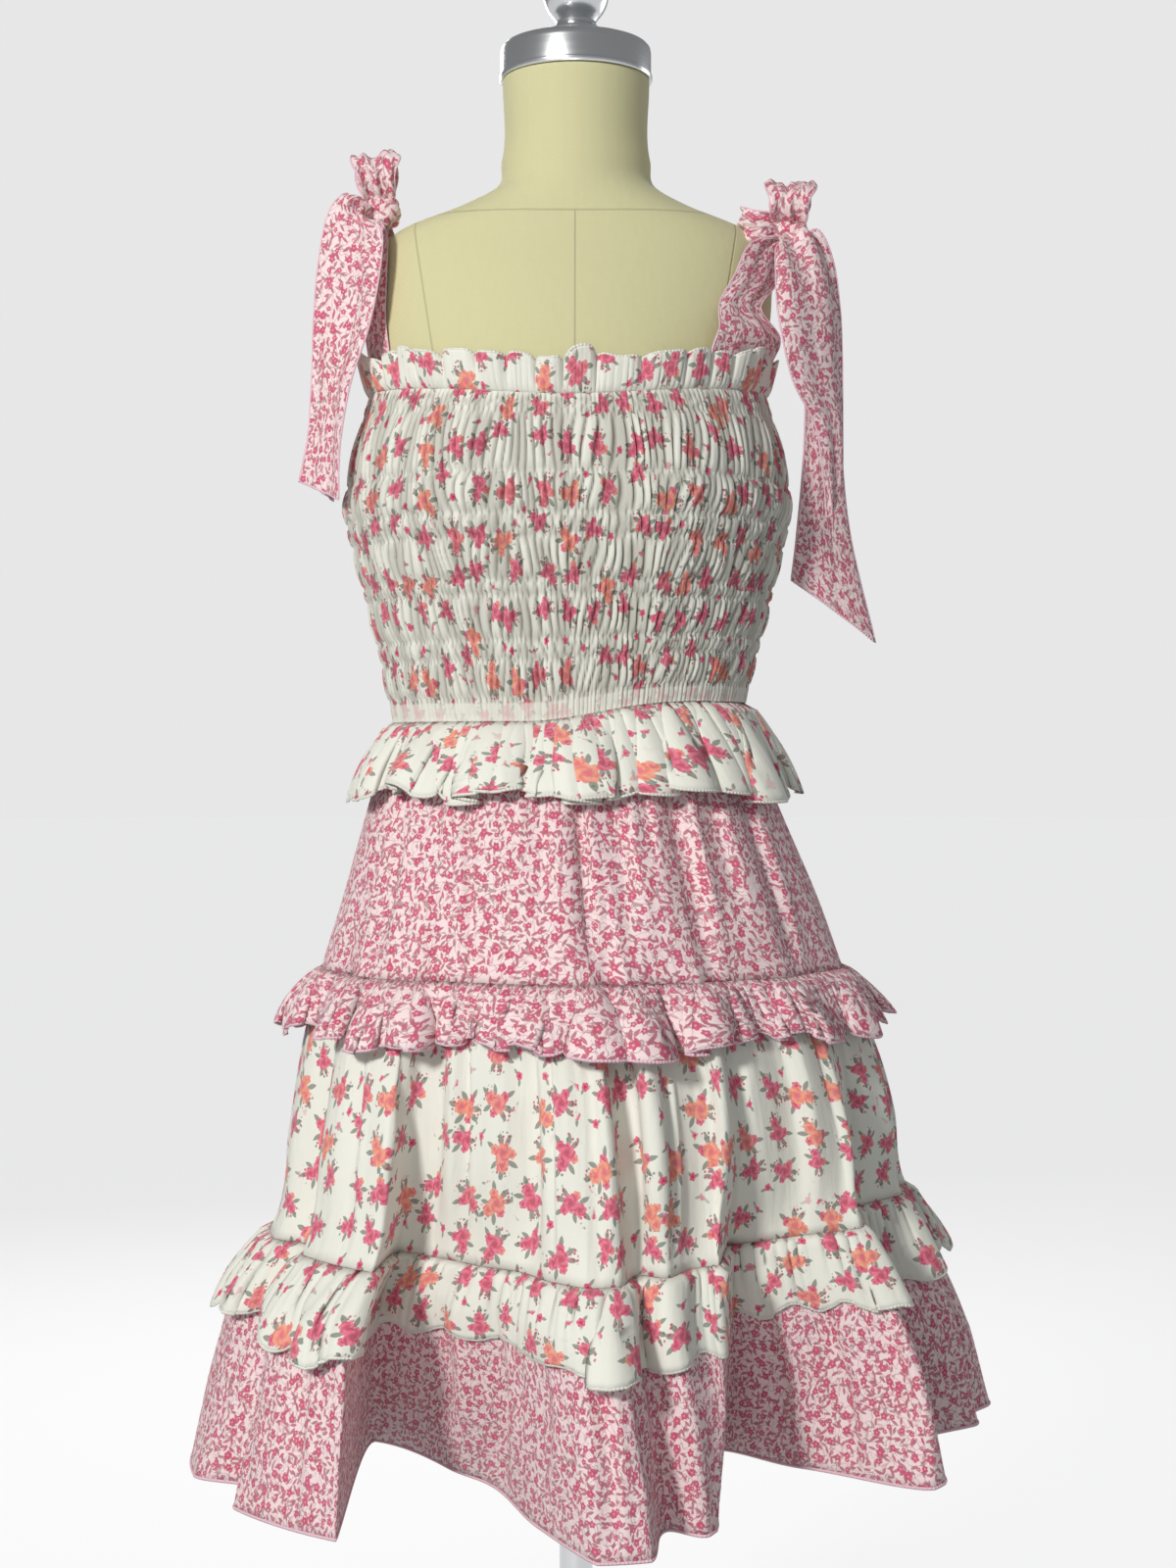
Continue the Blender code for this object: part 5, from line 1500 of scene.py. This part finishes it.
class SUNDRESS_OT_bows(bpy.types.Operator):
    """Make the bows: their draped ribbons, standing loops and knots."""
    bl_idname = "sundress.bows"
    bl_label = "Shoulder bows"

    def execute(self, context):
        self.ribbons()
        for number, (name, loop) in enumerate(LOOPS.items()):
            self.standing_loop(name, loop, number)
        for name, centre in (("knot_left", KNOT_LEFT), ("knot_right", KNOT_RIGHT)):
            self.knot(name, centre)
        return {"FINISHED"}

    def ribbons(self):
        for number, (name, (knot, edge_rows)) in enumerate(RIBBONS.items()):
            rows = [(Vector(row.outer), Vector(row.inner), row.crown) for row in edge_rows]
            start = knot_row(knot, rows[0][0], rows[0][1])
            rows = [(start[0], start[1], 0.0)] + rows
            lines = []
            for index, (outer, inner, crown) in enumerate(rows):
                before = rows[max(index - 1, 0)]
                after = rows[min(index + 1, len(rows) - 1)]
                run = (after[0] + after[1]) - (before[0] + before[1])
                lift = run.cross(outer - inner).normalized()
                lines.append([outer.lerp(inner, part) + lift * crown * math.sin(math.pi * part)
                              for part in np.linspace(0.0, 1.0, 7)])
            depth = 0.0032 if "drape" in name else 0.0018
            lay_ribbon(name, np.array(lines), depth, 4, 1.7 * number + 0.6)

    def standing_loop(self, name, loop, number):
        """A closed band pinched at the knot, with a fold down its middle and crumples."""
        direction = Vector(loop.direction).normalized()
        spread = Vector(loop.spread)
        spread = (spread - direction * spread.dot(direction)).normalized()
        across = direction.cross(spread)
        foot = loop.knot + direction * KNOT_RADIUS * LOOP_START
        side = np.linspace(-1.0, 1.0, 40)[:, None]
        turn = np.linspace(0.0, FULL_TURN, 120, endpoint=False)[None, :]
        swell = np.sin(turn / 2.0)
        along = loop.length * (0.5 - 0.5 * np.cos(turn)) + LOOP_CROWN * (1.0 - side ** 2) * swell
        fold = 0.17 * loop.length * np.exp(-((side - 0.12) / 0.26) ** 2) * swell ** 3
        ridges = 0.0016 * np.sin(7.0 * side + 3.0 * np.sin(turn) + number)
        ridges = ridges + 0.0011 * np.sin(15.0 * side + 2.0 * turn + 2.0 * number)
        out = loop.opening * np.sin(turn) * (LOOP_FULLNESS + (1.0 - LOOP_FULLNESS) * swell)
        out = out + ridges * swell
        half = loop.width / 2.0 * (LOOP_PINCH + (1.0 - LOOP_PINCH) * swell)
        half = half * (1.0 - 0.10 * np.sin(3.0 * turn + number))
        along = along - fold + ridges * swell * 0.8
        points = (np.array(foot) + along[..., None] * np.array(direction)
                  + out[..., None] * np.array(spread)
                  + (half * side)[..., None] * np.array(across))
        lengths = ring_lengths(points[len(points) // 2])
        down = np.linspace(0.0, loop.width, len(points))[:, None]
        piece = cloth_piece(name, points, lengths + 0.11 * number, down, True, "ditsy_cotton", name)
        thicken(piece, bpy.context.scene.sundress_sizes.cloth, 0.0)
        hems = [hem_tube(name + end, points[row], "ditsy_cotton", True, RIBBON_HEM)
                for end, row in (("_edge_a", 0), ("_edge_b", -1))]
        areas = np.linalg.norm(np.cross(np.roll(points, -1, axis=1)[:-1] - points[:-1],
                                        np.diff(points, axis=0)), axis=-1)
        flat = (float(lengths[-1]), loop.width)
        cut_area(areas, flat)

    def knot(self, name, centre):
        """A knot of gathered cloth, ridged round its tie."""
        polar = np.linspace(0.04, math.pi - 0.04, 40)[:, None]
        turn = np.linspace(0.0, FULL_TURN, 72, endpoint=False)[None, :]
        lean = 0.5 * np.sin(turn + 0.8)
        ridges = 0.0012 * np.abs(np.sin(5.0 * polar + 1.6 * lean + 0.7 * np.sin(3.0 * turn)))
        ridges = ridges + 0.0006 * np.sin(4.0 * turn + 3.0 * polar)
        radius = KNOT_RADIUS * 0.98 + ridges
        points = np.stack([radius * np.sin(polar) * np.sin(turn) * 1.10,
                           -radius * np.sin(polar) * np.cos(turn),
                           radius * np.cos(polar) * np.ones(turn.shape)], axis=-1) + np.array(centre)
        lengths = np.linspace(0.0, FULL_TURN * KNOT_RADIUS, 73)
        down = np.linspace(0.0, math.pi * KNOT_RADIUS, 40)[:, None]
        cloth_piece(name, points, lengths, down, True, "ditsy_cotton", name)


class SUNDRESS_OT_stage(bpy.types.Operator):
    """Make the floor, the lights and the camera."""
    bl_idname = "sundress.stage"
    bl_label = "Stage"

    def execute(self, context):
        self.floor()
        self.lights()
        self.sky()
        self.camera()
        return {"FINISHED"}

    def floor(self):
        mesh = bpy.data.meshes.new("studio_floor")
        turns = [FULL_TURN * step / FLOOR_STEPS for step in range(FLOOR_STEPS)]
        rim = [(FLOOR_REACH * math.sin(turn), -FLOOR_REACH * math.cos(turn), 0.0) for turn in turns]
        mesh.from_pydata(rim, [], [tuple(range(FLOOR_STEPS))])
        floor = bpy.data.objects.new("studio_floor", mesh)
        bpy.context.scene.collection.objects.link(floor)
        finish = Finish("studio floor")
        finish.set(Base_Color=(FLOOR_TONE, FLOOR_TONE, FLOOR_TONE, 1.0), Roughness=0.95,
                   Emission_Color=(1.0, 1.0, 1.0, 1.0), Emission_Strength=FLOOR_GLOW)
        mesh.materials.append(finish.material)
        floor.visible_diffuse = False

    def lights(self):
        for light in LIGHTS:
            lamp = bpy.data.lights.new(light.name, "AREA")
            lamp.energy = light.power
            lamp.size = light.size
            lamp.color = light.tone
            holder = bpy.data.objects.new(light.name, lamp)
            holder.location = light.place
            aim = LIGHTS_AIM - Vector(light.place)
            holder.rotation_euler = aim.to_track_quat("-Z", "Y").to_euler()
            bpy.context.scene.collection.objects.link(holder)

    def sky(self):
        """A pale studio: it looks near white, and lights the room more softly than that."""
        world = bpy.data.worlds.new("studio")
        world.use_nodes = True
        bpy.context.scene.world = world
        nodes = world.node_tree.nodes
        links = world.node_tree.links
        shown = nodes.new("ShaderNodeBackground")
        shown.inputs["Color"].default_value = (SKY_SHOWN, SKY_SHOWN, SKY_SHOWN, 1.0)
        shown.inputs["Strength"].default_value = 1.0
        ambient = nodes["Background"]
        ambient.inputs["Color"].default_value = (0.96, 0.98, 1.0, 1.0)
        ambient.inputs["Strength"].default_value = SKY_LIGHT
        seen = nodes.new("ShaderNodeLightPath")
        choice = nodes.new("ShaderNodeMixShader")
        links.new(seen.outputs["Is Camera Ray"], choice.inputs[0])
        links.new(ambient.outputs[0], choice.inputs[1])
        links.new(shown.outputs[0], choice.inputs[2])
        links.new(choice.outputs[0], nodes["World Output"].inputs["Surface"])

    def camera(self):
        scene = bpy.context.scene
        lens = bpy.data.cameras.new("photo_camera")
        lens.lens = SENSOR * FOCAL_PIXELS / PHOTO_HEIGHT
        lens.sensor_width = SENSOR
        lens.clip_start = 0.05
        lens.clip_end = 60.0
        camera = bpy.data.objects.new("photo_camera", lens)
        camera.location = CAMERA_PLACE
        pitch = math.atan((PHOTO_HEIGHT / 2.0 - HORIZON_ROW) / FOCAL_PIXELS)
        camera.rotation_euler = (math.pi / 2.0 - pitch, 0.0, 0.0)
        scene.collection.objects.link(camera)
        scene.camera = camera
        scene.view_settings.view_transform = "Standard"


class SUNDRESS_PT_panel(bpy.types.Panel):
    """Lists the steps that make the dress."""
    bl_idname = "SUNDRESS_PT_panel"
    bl_label = "Sundress"
    bl_space_type = "VIEW_3D"
    bl_region_type = "UI"
    bl_category = "Sundress"

    def draw(self, context):
        for step in STEPS:
            self.layout.operator(step.bl_idname)
        for group in (context.scene.sundress_sizes, context.scene.sundress_colours):
            for name in group.__annotations__:
                self.layout.prop(group, name)


STEPS = (
    SUNDRESS_OT_stage,
    SUNDRESS_OT_form,
    SUNDRESS_OT_stand,
    SUNDRESS_OT_bodice,
    SUNDRESS_OT_heading,
    SUNDRESS_OT_skirt,
    SUNDRESS_OT_ruffles,
    SUNDRESS_OT_straps,
    SUNDRESS_OT_bows,
)
CLASSES = (SundressSizes, SundressColours) + STEPS + (SUNDRESS_PT_panel,)


def register():
    for item in CLASSES:
        bpy.utils.register_class(item)
    bpy.types.Scene.sundress_sizes = bpy.props.PointerProperty(type=SundressSizes)
    bpy.types.Scene.sundress_colours = bpy.props.PointerProperty(type=SundressColours)


def unregister():
    del bpy.types.Scene.sundress_colours
    del bpy.types.Scene.sundress_sizes
    for item in reversed(CLASSES):
        bpy.utils.unregister_class(item)


def main():
    register()
    bpy.ops.sundress.stage()
    bpy.ops.sundress.form()
    bpy.ops.sundress.stand()
    bpy.ops.sundress.bodice()
    bpy.ops.sundress.heading()
    bpy.ops.sundress.skirt()
    bpy.ops.sundress.ruffles()
    bpy.ops.sundress.straps()
    bpy.ops.sundress.bows()


if __name__ == "__main__":
    main()
